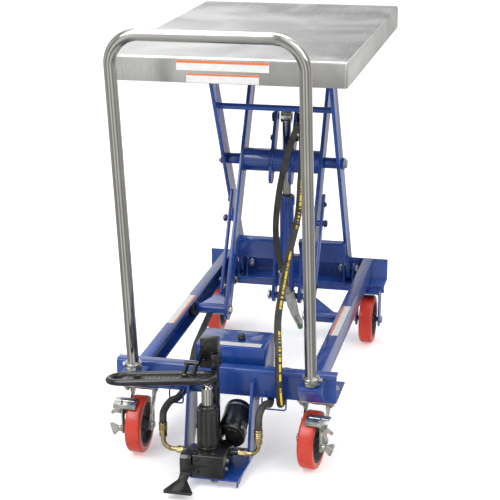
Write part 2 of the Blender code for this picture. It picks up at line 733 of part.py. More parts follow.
# ---------------------------------------------------------------- deck
def deck():
    rear = DECK_FRONT + DECK_LENGTH
    low = at(-DECK_WIDTH / 2, DECK_FRONT, DECK_TOP - SKIRT)
    high = at(DECK_WIDTH / 2, rear, DECK_TOP)
    size = high - low

    def build(work):
        bmesh.ops.create_cube(work, size=1.0)
        bmesh.ops.scale(work, vec=size, verts=work.verts)
        work.faces.ensure_lookup_table()
        bottom = min(work.faces, key=lambda face: face.calc_center_median().z)
        bmesh.ops.delete(work, geom=[bottom], context="FACES_ONLY")

    holder("deck_pivot", 0, PIVOT_Y, HIGH_Z)
    pan = mesh_object("deck_pan", build, Matrix.Translation((low + high) / 2))
    soften(pan, 0.006, 3)
    shell = pan.modifiers.new("sheet", "SOLIDIFY")
    shell.thickness = SHEET
    shell.offset = -1
    shell.use_even_offset = True
    hang(dress(pan, STAINLESS), "deck_pivot")

    under = DECK_TOP - SHEET - GAP
    for name, side in sides():
        inner, outer, back = 0.1515 * side, 0.1790 * side, 0.1755 * side
        profile = [
            (inner, 0.8290), (outer, 0.8290), (outer, under), (inner, under),
            (inner, 0.8590), (back, 0.8590), (back, 0.8322), (inner, 0.8322),
        ]
        channel = plate("deck_rail_" + name, [profile], "Y", DECK_FRONT + 0.0065, rear - 0.0065)
        ear = [(PIVOT_Y - 0.014, under), (PIVOT_Y - 0.014, HIGH_Z)]
        ear += arc((PIVOT_Y, HIGH_Z), 0.014, 180, 360, 8)
        ear += [(PIVOT_Y + 0.014, under)]
        near, far = span(side, 0.1080, 0.1140)
        tie_near, tie_far = span(side, 0.1082, 0.1560)
        pin_near, pin_far = span(side, 0.0925, 0.1135)
        join(
            channel,
            plate("hinge_ear_" + name, [ear], "X", near, far),
            block("hinge_tie_" + name, (tie_near, PIVOT_Y - 0.013, under - 0.006),
                  (tie_far, PIVOT_Y + 0.013, under - 0.0002)),
            rod("hinge_pin_" + name, (pin_near, PIVOT_Y, HIGH_Z), (pin_far, PIVOT_Y, HIGH_Z), 0.006, 14),
        )
        hang(dress(channel, BLUE), "deck_pivot")


# ---------------------------------------------------------------- push handle
def push_handle():
    x, radius, corner = 0.193, 0.0125, 0.0625
    foot, top = Vector((-0.0316, 0.2085)), Vector((-0.1253, 0.936))
    up = top - foot
    rise = up.length
    up.normalize()

    def place(across, height):
        spot = foot + up * height
        return (across, spot.x, spot.y)

    points = [place(-x, 0)]
    points += [place(*spot) for spot in arc((-x + corner, rise - corner), corner, 180, 90, 6)]
    points += [place(*spot) for spot in arc((x - corner, rise - corner), corner, 90, 0, 6)]
    points.append(place(x, 0))
    dress(tube("push_handle", points, radius, 3), CHROME)
    for name, side in sides():
        collar = rod("handle_collar_" + name, place(x * side, -0.0080), place(x * side, 0.0130), 0.0185, 12)
        cut(collar, rod("collar_bore_" + name, place(x * side, -0.0010), place(x * side, 0.0230),
                        radius + 0.0010, 20))
        join(collar, rod("collar_bolt_" + name, (x * side + 0.016, -0.030, 0.2105),
                         (x * side + 0.028, -0.026, 0.2125), 0.004, 8))
        dress(collar, ZINC)


# ---------------------------------------------------------------- hydraulics on the base
def reservoir():
    tank = block("oil_reservoir", (-0.0775, 0.046, MEMBER_BOTTOM + SHEET + GAP), (0.078, 0.147, 0.240),
                 0.004)
    cut(tank, block("tank_room", (-0.0745, 0.049, 0.152), (0.075, 0.144, 0.237)),
        rod("filler_hole", (0.0165, 0.092, 0.230), (0.0165, 0.092, 0.250), 0.006, 12))
    dress(tank, BLUE)
    cap = rod("breather_cap", (0.0165, 0.092, 0.2403), (0.0165, 0.092, 0.2465), 0.0085, 16)
    join(cap, rod("breather_hex", (0.0165, 0.092, 0.2455), (0.0165, 0.092, 0.2525), 0.0065, 6))
    dress(cap, BLACK)


def pump_cradle():
    cheek = [(-0.0003, 0.186), (-0.020, 0.186), (-0.060, 0.018), (0.008, 0.018), (0.040, 0.070),
             (0.040, 0.1448), (-0.0003, 0.1448)]
    right = plate("pump_cradle", [cheek], "X", 0.061, 0.067)
    left = plate("cradle_left", [cheek], "X", -0.078, -0.072)
    floor_plate = [(-0.0775, -0.055), (-0.040, -0.148), (0.062, -0.148), (0.0665, -0.056), (0.0665, 0.007),
                   (-0.0775, 0.007)]
    lip = [(-0.147, 0.0200), (-0.147, 0.0040), (-0.066, 0.0150), (-0.066, 0.0200)]
    join(
        right,
        left,
        plate("cradle_floor", [floor_plate], "Z", 0.0178, 0.0210),
        plate("cradle_lip", [lip], "X", 0.0590, 0.0619),
    )
    dress(right, BLUE)


def foot_pump():
    x, y = PUMP_AXIS
    body = block("pump_block", (-0.0355, -0.150, 0.0213), (0.032, -0.062, 0.0715), 0.002)
    dress(body, BLACK)
    barrel = rod("pump_barrel", (x, y, 0.0718), (x, y, 0.160), 0.023, 24)
    join(barrel, rod("barrel_neck", (x, y, 0.159), (x, y, 0.168), 0.019, 24, 0.0165))
    cut(barrel, rod("barrel_bore", (x, y, 0.0760), (x, y, 0.180), 0.0126, 20))
    dress(barrel, BLACK)
    plunger = rod("pump_plunger", (x, y, 0.104), (x, y, 0.2085), 0.012, 20)
    join(plunger, rod("plunger_button", (x, y, 0.208), (x, y, 0.2125), 0.0075, 16))
    hang(dress(plunger, CHROME), "plunger_slide")
    tower = block("pump_tower", (-0.0140, -0.077, 0.0718), (0.0020, -0.048, 0.196), 0.0015)
    join(
        tower,
        block("tower_foot", (-0.024, -0.076, 0.0718), (0.010, -0.050, 0.100), 0.001),
        block("tower_neck", (-0.0132, -0.0655, 0.180), (0.0012, -0.0488, 0.245), 0.001),
        block("tower_mid", (-0.0385, -0.0655, 0.2325), (0.0040, -0.046, 0.272), 0.001),
        block("tower_head", (-0.035, -0.070, 0.270), (0.0030, -0.049, 0.300), 0.001),
        block("tower_cheek", (-0.010, -0.0785, 0.2355), (0.0055, -0.045, 0.268), 0.001),
    )
    dress(tower, BLACK)
    front, back = (0.0292, -0.0750, 0.0840), (0.0292, 0.0100, 0.1146)
    waist = Vector(front).lerp(Vector(back), 0.24)
    drum = rod("pump_canister", front, waist, 0.0315, 28)
    join(
        drum,
        rod("canister_tail", Vector(front).lerp(Vector(back), 0.23), back, 0.0290, 28),
        rod("canister_lug", (0.0560, -0.0738, 0.1095), (0.0560, -0.0620, 0.1135), 0.0050, 12),
    )
    cut(
        drum,
        block("barrel_room", (-0.04, -0.13, 0.04), (0.0182, -0.045, 0.15)),
        block("block_room", (-0.04, -0.16, 0.04), (0.0340, -0.060, 0.0740)),
    )
    dress(drum, BLACK)


def pump_pedal():
    """A racetrack loop of tube on two short arms, which pushes the plunger down."""
    radius, half_depth = 0.007, 0.034
    left, right = Vector((-0.2140, -0.134, 0.2195)), Vector((0.0050, -0.110, 0.2325))
    across = (right - left).normalized()
    back = Vector((-across.y, across.x, 0)).normalized()
    back = (back - Vector((0, 0, math.tan(math.radians(9.0))))).normalized()
    ends = []
    for centre, start in ((right - across * half_depth, -90), (left + across * half_depth, 90)):
        for step in range(9):
            angle = math.radians(start + 180 * step / 8)
            spot = across * math.cos(angle) * half_depth + back * math.sin(angle) * half_depth
            ends.append(tuple(centre + spot))
    holder("pedal_pivot", -0.040, *PEDAL_PIVOT)
    pedal = tube("pump_pedal", ends, radius, 2, closed=True)
    middle = (left + right) / 2
    tread = block("tread", (-0.080, -half_depth, -0.0015), (0.080, half_depth, 0.0015))
    frame = Matrix((across, back, across.cross(back))).transposed().to_4x4()
    tread.matrix_world = Matrix.Translation(at(*middle)) @ frame
    join(pedal, tread)
    for index, x in enumerate((-0.064, -0.044)):
        start = (x, -0.096, 0.2255)
        join(pedal, rod("pedal_arm_" + str(index), start, (x, PEDAL_PIVOT[0] + 0.002, PEDAL_PIVOT[1]),
                        0.005, 10))
    join(pedal, rod("pedal_pin", (-0.070, *PEDAL_PIVOT), (-0.0390, *PEDAL_PIVOT), 0.005, 12))
    hang(dress(pedal, BLACK), "pedal_pivot")


def release_pedal():
    """A bent strap from a hub beside the pump, ending in a fan-shaped pad that opens the valve."""
    y, z = RELEASE_PIVOT
    near, far = -0.0595, -0.0362
    face, shoulder, heel, sheet = -0.156, 0.0710, 0.0300, 0.004
    holder("release_pivot", (near + far) / 2, y, z)
    hub = rod("release_pedal", (near, y, z), (far, y, z), 0.009, 16)
    line = [(y + 0.006, shoulder), (face + 0.006, shoulder), (face, shoulder - 0.006), (face, heel)]
    web = [(y + 0.004, z), (y + 0.004, shoulder - 0.002), (face + 0.007, shoulder - 0.002),
           (face + 0.0015, shoulder - 0.0078), (face + 0.0015, heel + 0.004), (y - 0.002, z - 0.007)]
    middle, waist, flare, length = (near + far) / 2, 0.0095, 0.0290, 0.0675
    half = [(0.0110, 0.002), (waist, -0.024), (flare + 0.002, 0.006 - length), (flare, -length)]
    fan = [(middle + out, along) for out, along in half]
    fan += [(middle - out, along) for out, along in half[::-1]]
    pad = plate("release_pad", [fan], "Z", -sheet / 2, sheet / 2)
    lean = Matrix.Rotation(math.radians(12.0), 4, "X")
    pad.matrix_world = Matrix.Translation(at(0, face + 0.002, heel + 0.001)) @ lean
    join(
        hub,
        plate("release_strap", [folded_sheet(line, sheet)], "X", near, far),
        plate("release_web", [web], "X", near + 0.0002, near + 0.0042),
        pad,
    )
    hang(dress(hub, BLACK), "release_pivot")


# ---------------------------------------------------------------- hoses and fittings
LIFT_ROUTE = [
    (0.0935, -0.0900, 0.1135), (0.0935, -0.0900, 0.1220), (0.0930, -0.0830, 0.1400),
    (0.0945, -0.0640, 0.1500), (0.0975, -0.0340, 0.1480), (0.0995, -0.0060, 0.1362),
    (0.0940, 0.0300, 0.1366), (0.0740, 0.0850, 0.1368), (0.0720, 0.1450, 0.1368),
    (0.0980, 0.1780, 0.1368), (0.1240, 0.1500, 0.1368), (0.1265, 0.0850, 0.1368),
    (0.1240, 0.0350, 0.1368), (0.1235, 0.0000, 0.1362), (0.1255, -0.0230, 0.1510),
    (0.1235, -0.0260, 0.1900), (0.1210, -0.0200, 0.2650), (0.1060, 0.0500, 0.3110),
    (0.0960, 0.1600, 0.3560), (0.0900, 0.2600, 0.3950), (0.0960, 0.3200, 0.4600),
    (0.0940, 0.3600, 0.5300), (0.0900, 0.4000, 0.6050), (0.0740, 0.4500, 0.6400),
    (0.0480, 0.4950, 0.5950), (0.0230, 0.5200, 0.5200), (0.0030, 0.5450, 0.4300),
    (-0.0080, 0.5700, 0.3450), (-0.0060, 0.5950, 0.2700), (0.0005, 0.6120, 0.2250),
    (0.0010, 0.6150, 0.2150),
]
RETURN_ROUTE = [
    (-0.1130, -0.0900, 0.1110), (-0.1130, -0.0900, 0.1180), (-0.1135, -0.0800, 0.1330),
    (-0.1080, -0.0500, 0.1420), (-0.1000, -0.0150, 0.1375), (-0.0985, 0.0400, 0.1368),
    (-0.1080, 0.1200, 0.1368), (-0.1250, 0.2000, 0.1380), (-0.1370, 0.2700, 0.1410),
    (-0.1440, 0.3400, 0.1425), (-0.1520, 0.4200, 0.1420), (-0.1595, 0.5000, 0.1415),
    (-0.1620, 0.5800, 0.1410), (-0.1620, 0.6600, 0.1395), (-0.1610, 0.7200, 0.1382),
    (-0.1600, 0.7500, 0.1380), (-0.1600, 0.7585, 0.1380),
]


def fitting(name, x_nut, nut_z, ferrule, y, bend_x):
    """A union nut on the pump, a bent pipe and the crimped ferrule of a hose."""
    side = 1 if x_nut[1] > 0 else -1
    start, end = (x_nut[0], y, nut_z), (x_nut[1], y, nut_z)
    nut = rod(name, start, end, 0.0078, 6)
    x, low, high = ferrule
    pipe = [(x_nut[1] - 0.003 * side, y, nut_z), (bend_x - 0.016 * side, y, nut_z)]
    pipe += [(bend_x - 0.016 * side + 0.016 * side * math.sin(math.radians(angle)), y,
              nut_z + 0.016 * (1 - math.cos(math.radians(angle)))) for angle in (30, 60, 90)]
    pipe += [(x, y, low + 0.004)]
    ferrule_end = rod(name + "_ferrule", (x, y, low), (x, y, high), 0.0092, 16)
    join(nut, tube(name + "_pipe", pipe, 0.0045, 2), ferrule_end)
    dress(nut, BRASS)


def hose(name, route, spacing):
    """A hose on a smooth curve, with a short straight stretch at each end."""
    points = [route[0]] + smooth_route(route[1:-1], spacing) + [route[-1]]
    dress(tube(name, points, HOSE, 2), RUBBER)


def hoses():
    hose("lift_hose", LIFT_ROUTE, 0.027)
    hose("return_hose", RETURN_ROUTE, 0.030)
    fitting("lift_hose_fitting", (0.0325, 0.0465), 0.057, (0.0935, 0.0960, 0.1130), -0.090, 0.0935)
    fitting("return_hose_fitting", (-0.0360, -0.0500), 0.052, (-0.1130, 0.0940, 0.1105), -0.090, -0.1130)
    end = rod("rear_hose_fitting", (-0.1600, 0.7590, 0.1380), (-0.1600, 0.7655, 0.1380), 0.0095, 12)
    dress(end, BRASS)
    hose_guide("hose_guide_right", 0.0985, 0.1255, 0.0125, 0.1310)
    hose_guide("hose_guide_left", -0.1025, -0.1025, 0.0150, 0.1272)


def hose_guide(name, near, far, reach, low):
    """A bent rod welded to the front cross member's face, which a hose runs through."""
    y, top, bend = -0.0210, 0.1560, 0.006
    wall = -GAP
    points = [(near - reach, wall, top), (near - reach, y + 0.004, top), (near - reach, y, top - 0.004),
              (near - reach, y, low + bend), (near - reach + bend, y, low), (far + reach - bend, y, low),
              (far + reach, y, low + bend), (far + reach, y, top - 0.004), (far + reach, y + 0.004, top),
              (far + reach, wall, top)]
    dress(tube(name, points, 0.0018, 2), BLUE)


# ---------------------------------------------------------------- everything
def main():
    global TABLE, CUTTERS
    clear_scene()
    TABLE = new_collection("scissor_lift_table", hidden=False)
    CUTTERS = new_collection("cutters", hidden=True)
    front_cross_member()
    rear_cross_member()
    rails()
    rear_forks()
    for name, side in sides():
        caster(name, side)
        x, y = REAR_WHEEL[0] * side, REAR_WHEEL[1]
        wheel("rear_wheel_" + name, x, y, "rear_wheel_spin_" + name)
    legs()
    torque_tube()
    tie_tube()
    cross_plate()
    lift_cylinder()
    rollers()
    safety_props()
    deck()
    push_handle()
    reservoir()
    pump_cradle()
    holder("plunger_slide", *PUMP_AXIS, 0.168)
    foot_pump()
    pump_pedal()
    release_pedal()
    hoses()


main()
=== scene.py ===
"""The looks of the scissor lift table: finished surfaces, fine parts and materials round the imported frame.

Places are (x, y, z) in metres with y measured back from the front cross member's face, as in the
CAD source, and P() turns them into the frame's own coordinates.
"""

import json
import math

import bmesh
import bpy
from mathutils import Matrix, Vector

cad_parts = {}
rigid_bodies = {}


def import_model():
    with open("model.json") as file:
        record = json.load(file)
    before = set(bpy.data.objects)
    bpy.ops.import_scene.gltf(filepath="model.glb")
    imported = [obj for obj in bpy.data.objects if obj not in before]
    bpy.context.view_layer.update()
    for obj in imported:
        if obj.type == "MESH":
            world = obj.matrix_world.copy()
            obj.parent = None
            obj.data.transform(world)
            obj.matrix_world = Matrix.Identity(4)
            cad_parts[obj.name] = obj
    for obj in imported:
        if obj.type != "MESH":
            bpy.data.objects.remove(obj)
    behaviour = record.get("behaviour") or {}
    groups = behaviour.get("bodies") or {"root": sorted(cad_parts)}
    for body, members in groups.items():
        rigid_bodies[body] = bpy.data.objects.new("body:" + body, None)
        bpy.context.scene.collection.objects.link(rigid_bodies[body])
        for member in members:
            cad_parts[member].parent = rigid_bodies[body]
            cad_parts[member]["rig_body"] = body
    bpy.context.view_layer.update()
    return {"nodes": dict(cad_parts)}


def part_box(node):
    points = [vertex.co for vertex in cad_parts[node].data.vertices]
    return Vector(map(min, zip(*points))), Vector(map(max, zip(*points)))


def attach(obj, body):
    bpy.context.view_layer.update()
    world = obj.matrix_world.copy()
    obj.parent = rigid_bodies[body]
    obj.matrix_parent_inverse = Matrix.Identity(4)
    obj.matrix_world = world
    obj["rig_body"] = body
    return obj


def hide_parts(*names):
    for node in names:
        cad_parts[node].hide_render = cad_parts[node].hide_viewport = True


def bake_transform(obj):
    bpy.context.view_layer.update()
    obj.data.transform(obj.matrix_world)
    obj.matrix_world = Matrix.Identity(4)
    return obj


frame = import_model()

RAIL_START = 0.0036             # the rails begin this far behind the front cross member's face
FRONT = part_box("rail_left")[0].y - RAIL_START
SIDES = (("left", -1), ("right", 1))
LOOKS = {}


def P(x, y, z):
    """A point given with y measured back from the front cross member's face."""
    return Vector((x, y + FRONT, z))


# ---------------------------------------------------------------- materials
class Nodes:
    """A node tree, and the few node shapes that the materials and the room are made from."""

    def __init__(self, tree):
        self.tree = tree

    def node(self, kind, inputs=None, **settings):
        made = self.tree.nodes.new("ShaderNode" + kind)
        for key, value in settings.items():
            setattr(made, key, value)
        for key, value in (inputs or {}).items():
            if isinstance(value, bpy.types.NodeSocket):
                self.tree.links.new(value, made.inputs[key])
            else:
                made.inputs[key].default_value = value
        return made

    def math(self, operation, first, second=0.0):
        return self.node("Math", {0: first, 1: second}, operation=operation).outputs["Value"]

    def ramp(self, value, stops):
        made = self.node("ValToRGB", {"Fac": value})
        elements = made.color_ramp.elements
        elements[0].position, elements[0].color = stops[0][0], (*stops[0][1], 1)
        elements[1].position, elements[1].color = stops[-1][0], (*stops[-1][1], 1)
        for place, colour in stops[1:-1]:
            elements.new(place).color = (*colour, 1)
        return made.outputs["Color"]

    def mix(self, share, first, second, **settings):
        inputs = {"Fac": share, "Color1": first, "Color2": second}
        return self.node("MixRGB", inputs, **settings).outputs["Color"]

    def spread(self, value, low, high, start=0.3, end=0.7):
        inputs = {"Value": value, "From Min": start, "From Max": end, "To Min": low, "To Max": high}
        return self.node("MapRange", inputs).outputs["Result"]


class Look(Nodes):
    """A Principled material with procedural detail in its colour, roughness and bump."""

    def __init__(self, name, metallic=0.0, roughness=0.5, coat=0.0, coat_roughness=0.08):
        self.material = bpy.data.materials.new(name)
        self.material.use_nodes = True
        super().__init__(self.material.node_tree)
        self.shader = self.tree.nodes["Principled BSDF"]
        self.shader.inputs["Metallic"].default_value = metallic
        self.shader.inputs["Roughness"].default_value = roughness
        self.shader.inputs["Coat Weight"].default_value = coat
        self.shader.inputs["Coat Roughness"].default_value = coat_roughness
        self.coordinates = self.node("TexCoord")
        self.place = self.coordinates.outputs["Object"]
        self.normal = None

    def stretched(self, scale, turn=0.0):
        settings = {"Vector": self.place, "Scale": scale, "Rotation": (0, 0, turn)}
        return self.node("Mapping", settings).outputs["Vector"]

    def noise(self, scale, detail=3.0, vector=None, distortion=0.0):
        inputs = {"Vector": vector or self.place, "Scale": scale, "Detail": detail,
                  "Distortion": distortion}
        return self.node("TexNoise", inputs).outputs["Fac"]

    def give(self, socket, value):
        self.tree.links.new(value, self.shader.inputs[socket])

    def tint(self, value, dark, bright, start=0.3, end=0.7):
        self.give("Base Color", self.ramp(value, [(start, dark), (end, bright)]))

    def roughen(self, value, low, high):
        self.give("Roughness", self.spread(value, low, high))

    def bump(self, height, strength, distance=0.0005):
        inputs = {"Height": height, "Strength": strength, "Distance": distance}
        if self.normal:
            inputs["Normal"] = self.normal
        self.normal = self.node("Bump", inputs).outputs["Normal"]
        self.give("Normal", self.normal)


def enamel(name, dark, bright, scuff, coat=0.5):
    """Sprayed gloss enamel: slow colour drift, orange peel, dust and fine scuffs."""
    look = Look(name, metallic=0.0, coat=coat)
    drift = look.ramp(look.noise(7.0, 4.0), [(0.34, dark), (0.66, bright)])
    streaks = look.noise(38.0, 5.0, look.stretched((1.0, 0.25, 1.6)), 0.4)
    marks = look.ramp(streaks, [(0.68, (0, 0, 0)), (0.76, (0.35, 0.35, 0.35))])
    look.give("Base Color", look.mix(marks, drift, (*scuff, 1)))
    look.roughen(look.noise(55.0, 4.0), 0.24, 0.4)
    look.bump(look.noise(420.0, 2.0), 0.1, 0.0004)
    look.bump(look.noise(24.0, 3.0), 0.06, 0.001)
    return look.material


def stainless():
    """Rolled and wiped stainless sheet: fine grain along the deck, cloudy patches and faint scratches."""
    look = Look("stainless", metallic=1.0)
    clouds = look.noise(5.5, 5.0, None, 0.8)
    tone = look.ramp(clouds, [(0.32, (0.6, 0.6, 0.59)), (0.5, (0.68, 0.68, 0.67)),
                              (0.66, (0.76, 0.76, 0.75))])
    grain = look.noise(420.0, 3.0, look.stretched((1.0, 0.022, 0.1)))
    look.give("Base Color", look.mix(look.spread(grain, 0.0, 0.14), tone, (0.4, 0.4, 0.395, 1)))
    haze = look.math("ADD", look.spread(clouds, 0.16, 0.34), look.spread(grain, 0.0, 0.1))
    look.give("Roughness", haze)
    look.bump(grain, 0.07, 0.0002)
    scratches = look.noise(70.0, 2.0, look.stretched((1.0, 0.05, 1.0), 0.25))
    look.bump(look.ramp(scratches, [(0.68, (0, 0, 0)), (0.72, (1, 1, 1))]), 0.1, 0.0002)
    return look.material


def chrome():
    """Bright plated tube with a little haze and small handling marks."""
    look = Look("chrome", metallic=1.0)
    haze = look.noise(14.0, 4.0)
    look.tint(haze, (0.54, 0.53, 0.505), (0.66, 0.65, 0.62))
    look.roughen(haze, 0.07, 0.15)
    look.bump(look.noise(60.0, 3.0), 0.02, 0.0002)
    return look.material


def zinc(name, dark, bright, rough):
    """Zinc plate: small cloudy crystals on a metal that is dull in places."""
    look = Look(name, metallic=1.0)
    cells = look.node("TexVoronoi", {"Vector": look.place, "Scale": 140.0}).outputs["Color"]
    crystals = look.node("SeparateColor", {"Color": cells}).outputs["Red"]
    clouds = look.noise(30.0, 4.0)
    mixed = look.math("MULTIPLY", look.math("ADD", crystals, clouds), 0.5)
    look.tint(mixed, dark, bright, 0.25, 0.75)
    look.roughen(clouds, rough - 0.08, rough + 0.12)
    look.bump(crystals, 0.06, 0.0002)
    look.bump(look.noise(180.0, 3.0), 0.12, 0.0003)
    return look.material


def black_enamel():
    """Black enamel over castings, with a soft orange peel and worn, dusty patches."""
    look = Look("black_enamel", coat=0.6, coat_roughness=0.09)
    dust = look.noise(22.0, 5.0, None, 0.5)
    look.tint(dust, (0.0035, 0.0035, 0.004), (0.013, 0.0125, 0.012), 0.38, 0.75)
    look.roughen(dust, 0.26, 0.44)
    look.bump(look.noise(160.0, 3.0), 0.14, 0.0004)
    look.bump(look.noise(620.0, 2.0), 0.06, 0.0002)
    return look.material


def tread():
    """Cast red polyurethane, slightly glossy, scuffed round the rolling face."""
    look = Look("red_tread", coat=0.25, coat_roughness=0.18)
    drift = look.ramp(look.noise(18.0, 4.0), [(0.3, (0.46, 0.022, 0.01)), (0.7, (0.62, 0.045, 0.018))])
    scuffs = look.ramp(look.noise(90.0, 4.0, None, 1.0), [(0.62, (0, 0, 0)), (0.74, (0.35, 0.35, 0.35))])
    look.give("Base Color", look.mix(scuffs, drift, (0.36, 0.05, 0.03, 1)))
    look.roughen(look.noise(60.0, 4.0), 0.26, 0.42)
    look.bump(look.noise(240.0, 3.0), 0.1, 0.0004)
    return look.material


def nylon():
    """Moulded black nylon with a fine grain."""
    look = Look("black_nylon")
    look.tint(look.noise(40.0, 4.0), (0.01, 0.01, 0.011), (0.03, 0.03, 0.03))
    look.roughen(look.noise(80.0, 3.0), 0.4, 0.58)
    look.bump(look.noise(520.0, 2.0), 0.25, 0.0003)
    return look.material


def hose_cover():
    """Wrapped rubber cover with criss-cross ribs and a line of plain yellow dashes along it."""
    look = Look("hose_cover")
    split = look.node("SeparateXYZ", {"Vector": look.coordinates.outputs["UV"]})
    around, along = split.outputs["X"], split.outputs["Y"]
    ribs = []
    for lean in (-1.0, 1.0):
        phase = look.math("ADD", look.math("MULTIPLY", around, 14.0 * lean),
                          look.math("MULTIPLY", along, 620.0))
        ribs.append(look.math("SINE", look.math("MULTIPLY", phase, 2 * math.pi)))
    weave = look.math("MULTIPLY", ribs[0], ribs[1])
    off_line = look.math("ABSOLUTE", look.math("SUBTRACT", around, 0.21))
    band = look.math("LESS_THAN", off_line, 0.05)
    stepped = look.math("MULTIPLY", look.math("FLOOR", look.math("MULTIPLY", along, 420.0)), 0.37)
    blocks = look.node("TexWhiteNoise", {"W": stepped}, noise_dimensions="1D").outputs["Value"]
    run = look.math("SINE", look.math("MULTIPLY", along, 24.0))
    printed = look.math("MULTIPLY", look.math("GREATER_THAN", blocks, 0.34),
                        look.math("GREATER_THAN", run, -0.72))
    ink = look.math("MULTIPLY", band, printed)
    rubber = look.ramp(look.noise(30.0, 4.0), [(0.3, (0.022, 0.021, 0.018)), (0.7, (0.06, 0.056, 0.046))])
    look.give("Base Color", look.mix(ink, rubber, (0.8, 0.56, 0.03, 1)))
    look.roughen(look.noise(90.0, 3.0), 0.48, 0.66)
    look.bump(weave, 0.3, 0.0003)
    look.bump(look.noise(700.0, 2.0), 0.1, 0.0002)
    return look.material


def casting():
    """Bare die-cast metal, matt and slightly pitted."""
    look = Look("die_casting", metallic=0.65)
    look.tint(look.noise(45.0, 5.0), (0.4, 0.4, 0.385), (0.58, 0.58, 0.56))
    look.roughen(look.noise(100.0, 3.0), 0.4, 0.6)
    look.bump(look.noise(300.0, 4.0), 0.35, 0.0004)
    return look.material


def film(name, colour):
    """Printed label film: a smooth plastic face with faint handling marks."""
    look = Look(name, coat=0.3)
    worn = tuple(0.86 * channel + 0.02 for channel in colour)
    look.tint(look.noise(60.0, 5.0, None, 0.6), colour, worn, 0.35)
    look.roughen(look.noise(40.0, 3.0), 0.34, 0.5)
    look.bump(look.noise(260.0, 2.0), 0.05, 0.0002)
    return look.material


def make_looks():
    """Every material of the object, by the short name that its pieces use."""
    LOOKS.update({
        "blue": enamel("blue_enamel", (0.0045, 0.032, 0.19), (0.009, 0.06, 0.31), (0.04, 0.12, 0.36), 0.7),
        "black": black_enamel(),
        "steel": stainless(),
        "chrome": chrome(),
        "zinc": zinc("zinc_plating", (0.36, 0.37, 0.36), (0.68, 0.68, 0.64), 0.3),
        "brass": zinc("yellow_zinc", (0.42, 0.31, 0.12), (0.74, 0.62, 0.34), 0.26),
        "red": tread(),
        "nylon": nylon(),
        "hose": hose_cover(),
        "casting": casting(),
        "white_film": film("label_white", (0.72, 0.72, 0.7)),
        "orange_film": film("label_orange", (0.72, 0.15, 0.035)),
        "grey_film": film("label_grey", (0.34, 0.35, 0.36)),
        "green": film("green_sleeve", (0.012, 0.22, 0.055)),
    })


# ---------------------------------------------------------------- shapes
def aim(place, axis):
    """A frame at a place whose Z runs along axis."""
    return Matrix.Translation(place) @ Vector(axis).to_track_quat("Z", "Y").to_matrix().to_4x4()


def lathe(work, profile, where, sides=48, ring=False):
    """Turns (along, radius) points about the frame's Z. A ring's profile closes on itself."""
    rows = []
    for along, radius in profile:
        if radius < 1e-7:
            rows.append([work.verts.new(where @ Vector((0, 0, along)))])
            continue
        row = []
        for step in range(sides):
            angle = 2 * math.pi * step / sides
            spot = Vector((radius * math.cos(angle), radius * math.sin(angle), along))
            row.append(work.verts.new(where @ spot))
        rows.append(row)
    pairs = list(zip(rows, rows[1:]))
    if ring:
        pairs.append((rows[-1], rows[0]))
    for low, high in pairs:
        for step in range(sides):
            after = (step + 1) % sides
            corners = [low[step % len(low)], low[after % len(low)],
                       high[after % len(high)], high[step % len(high)]]
            corners = list(dict.fromkeys(corners))
            if len(corners) > 2:
                work.faces.new(corners)
    if not ring:
        for end in (rows[0], rows[-1]):
            if len(end) > 1:
                work.faces.new(end)


def prism(work, outline, depth, where, edge=0.0):
    """A flat outline in the frame's XY, made depth thick along its Z, with its rims rounded."""
    low = [work.verts.new(where @ Vector((x, y, 0))) for x, y in outline]
    high = [work.verts.new(where @ Vector((x, y, depth))) for x, y in outline]
    caps = [work.faces.new(low[::-1]), work.faces.new(high)]
    for index in range(len(outline)):
        after = (index + 1) % len(outline)
        work.faces.new((low[index], low[after], high[after], high[index]))
    if edge:
        rims = {rim for cap in caps for rim in cap.edges}
        bmesh.ops.bevel(work, geom=list(rims), offset=edge, segments=2, profile=0.5, affect="EDGES")


def cube(work, low, high, edge=0.0, segments=3):
    """A box between two places, with rounded edges."""
    low, high = P(*low), P(*high)
    made = bmesh.ops.create_cube(work, size=1.0)["verts"]
    bmesh.ops.scale(work, vec=high - low, verts=made)
    bmesh.ops.translate(work, vec=(low + high) / 2, verts=made)
    if edge:
        edges = {rim for corner in made for rim in corner.link_edges}
        bmesh.ops.bevel(work, geom=list(edges), offset=edge, segments=segments, profile=0.5, affect="EDGES")


def smooth_route(points, spacing):
    """Evenly spaced points on a smooth curve through the given ones."""
    route = [Vector(point) for point in points]
    route = [2 * route[0] - route[1]] + route + [2 * route[-1] - route[-2]]
    fine = []
    for index in range(1, len(route) - 2):
        before, start, end, after = route[index - 1:index + 3]
        for step in range(24):
            u = step / 24
            fine.append(0.5 * (
                2 * start + (end - before) * u
                + (2 * before - 5 * start + 4 * end - after) * u * u
                + (3 * start - before - 3 * end + after) * u ** 3
            ))
    fine.append(route[-2])
    total = sum((after - before).length for before, after in zip(fine, fine[1:]))
    count = max(2, round(total / spacing))
    kept, travelled, place = [fine[0]], 0.0, 1
    for before, after in zip(fine, fine[1:]):
        length = (after - before).length
        while place < count and travelled + length >= total * place / count:
            kept.append(before.lerp(after, (total * place / count - travelled) / length))
            place += 1
        travelled += length
    kept.append(fine[-1])
    return kept


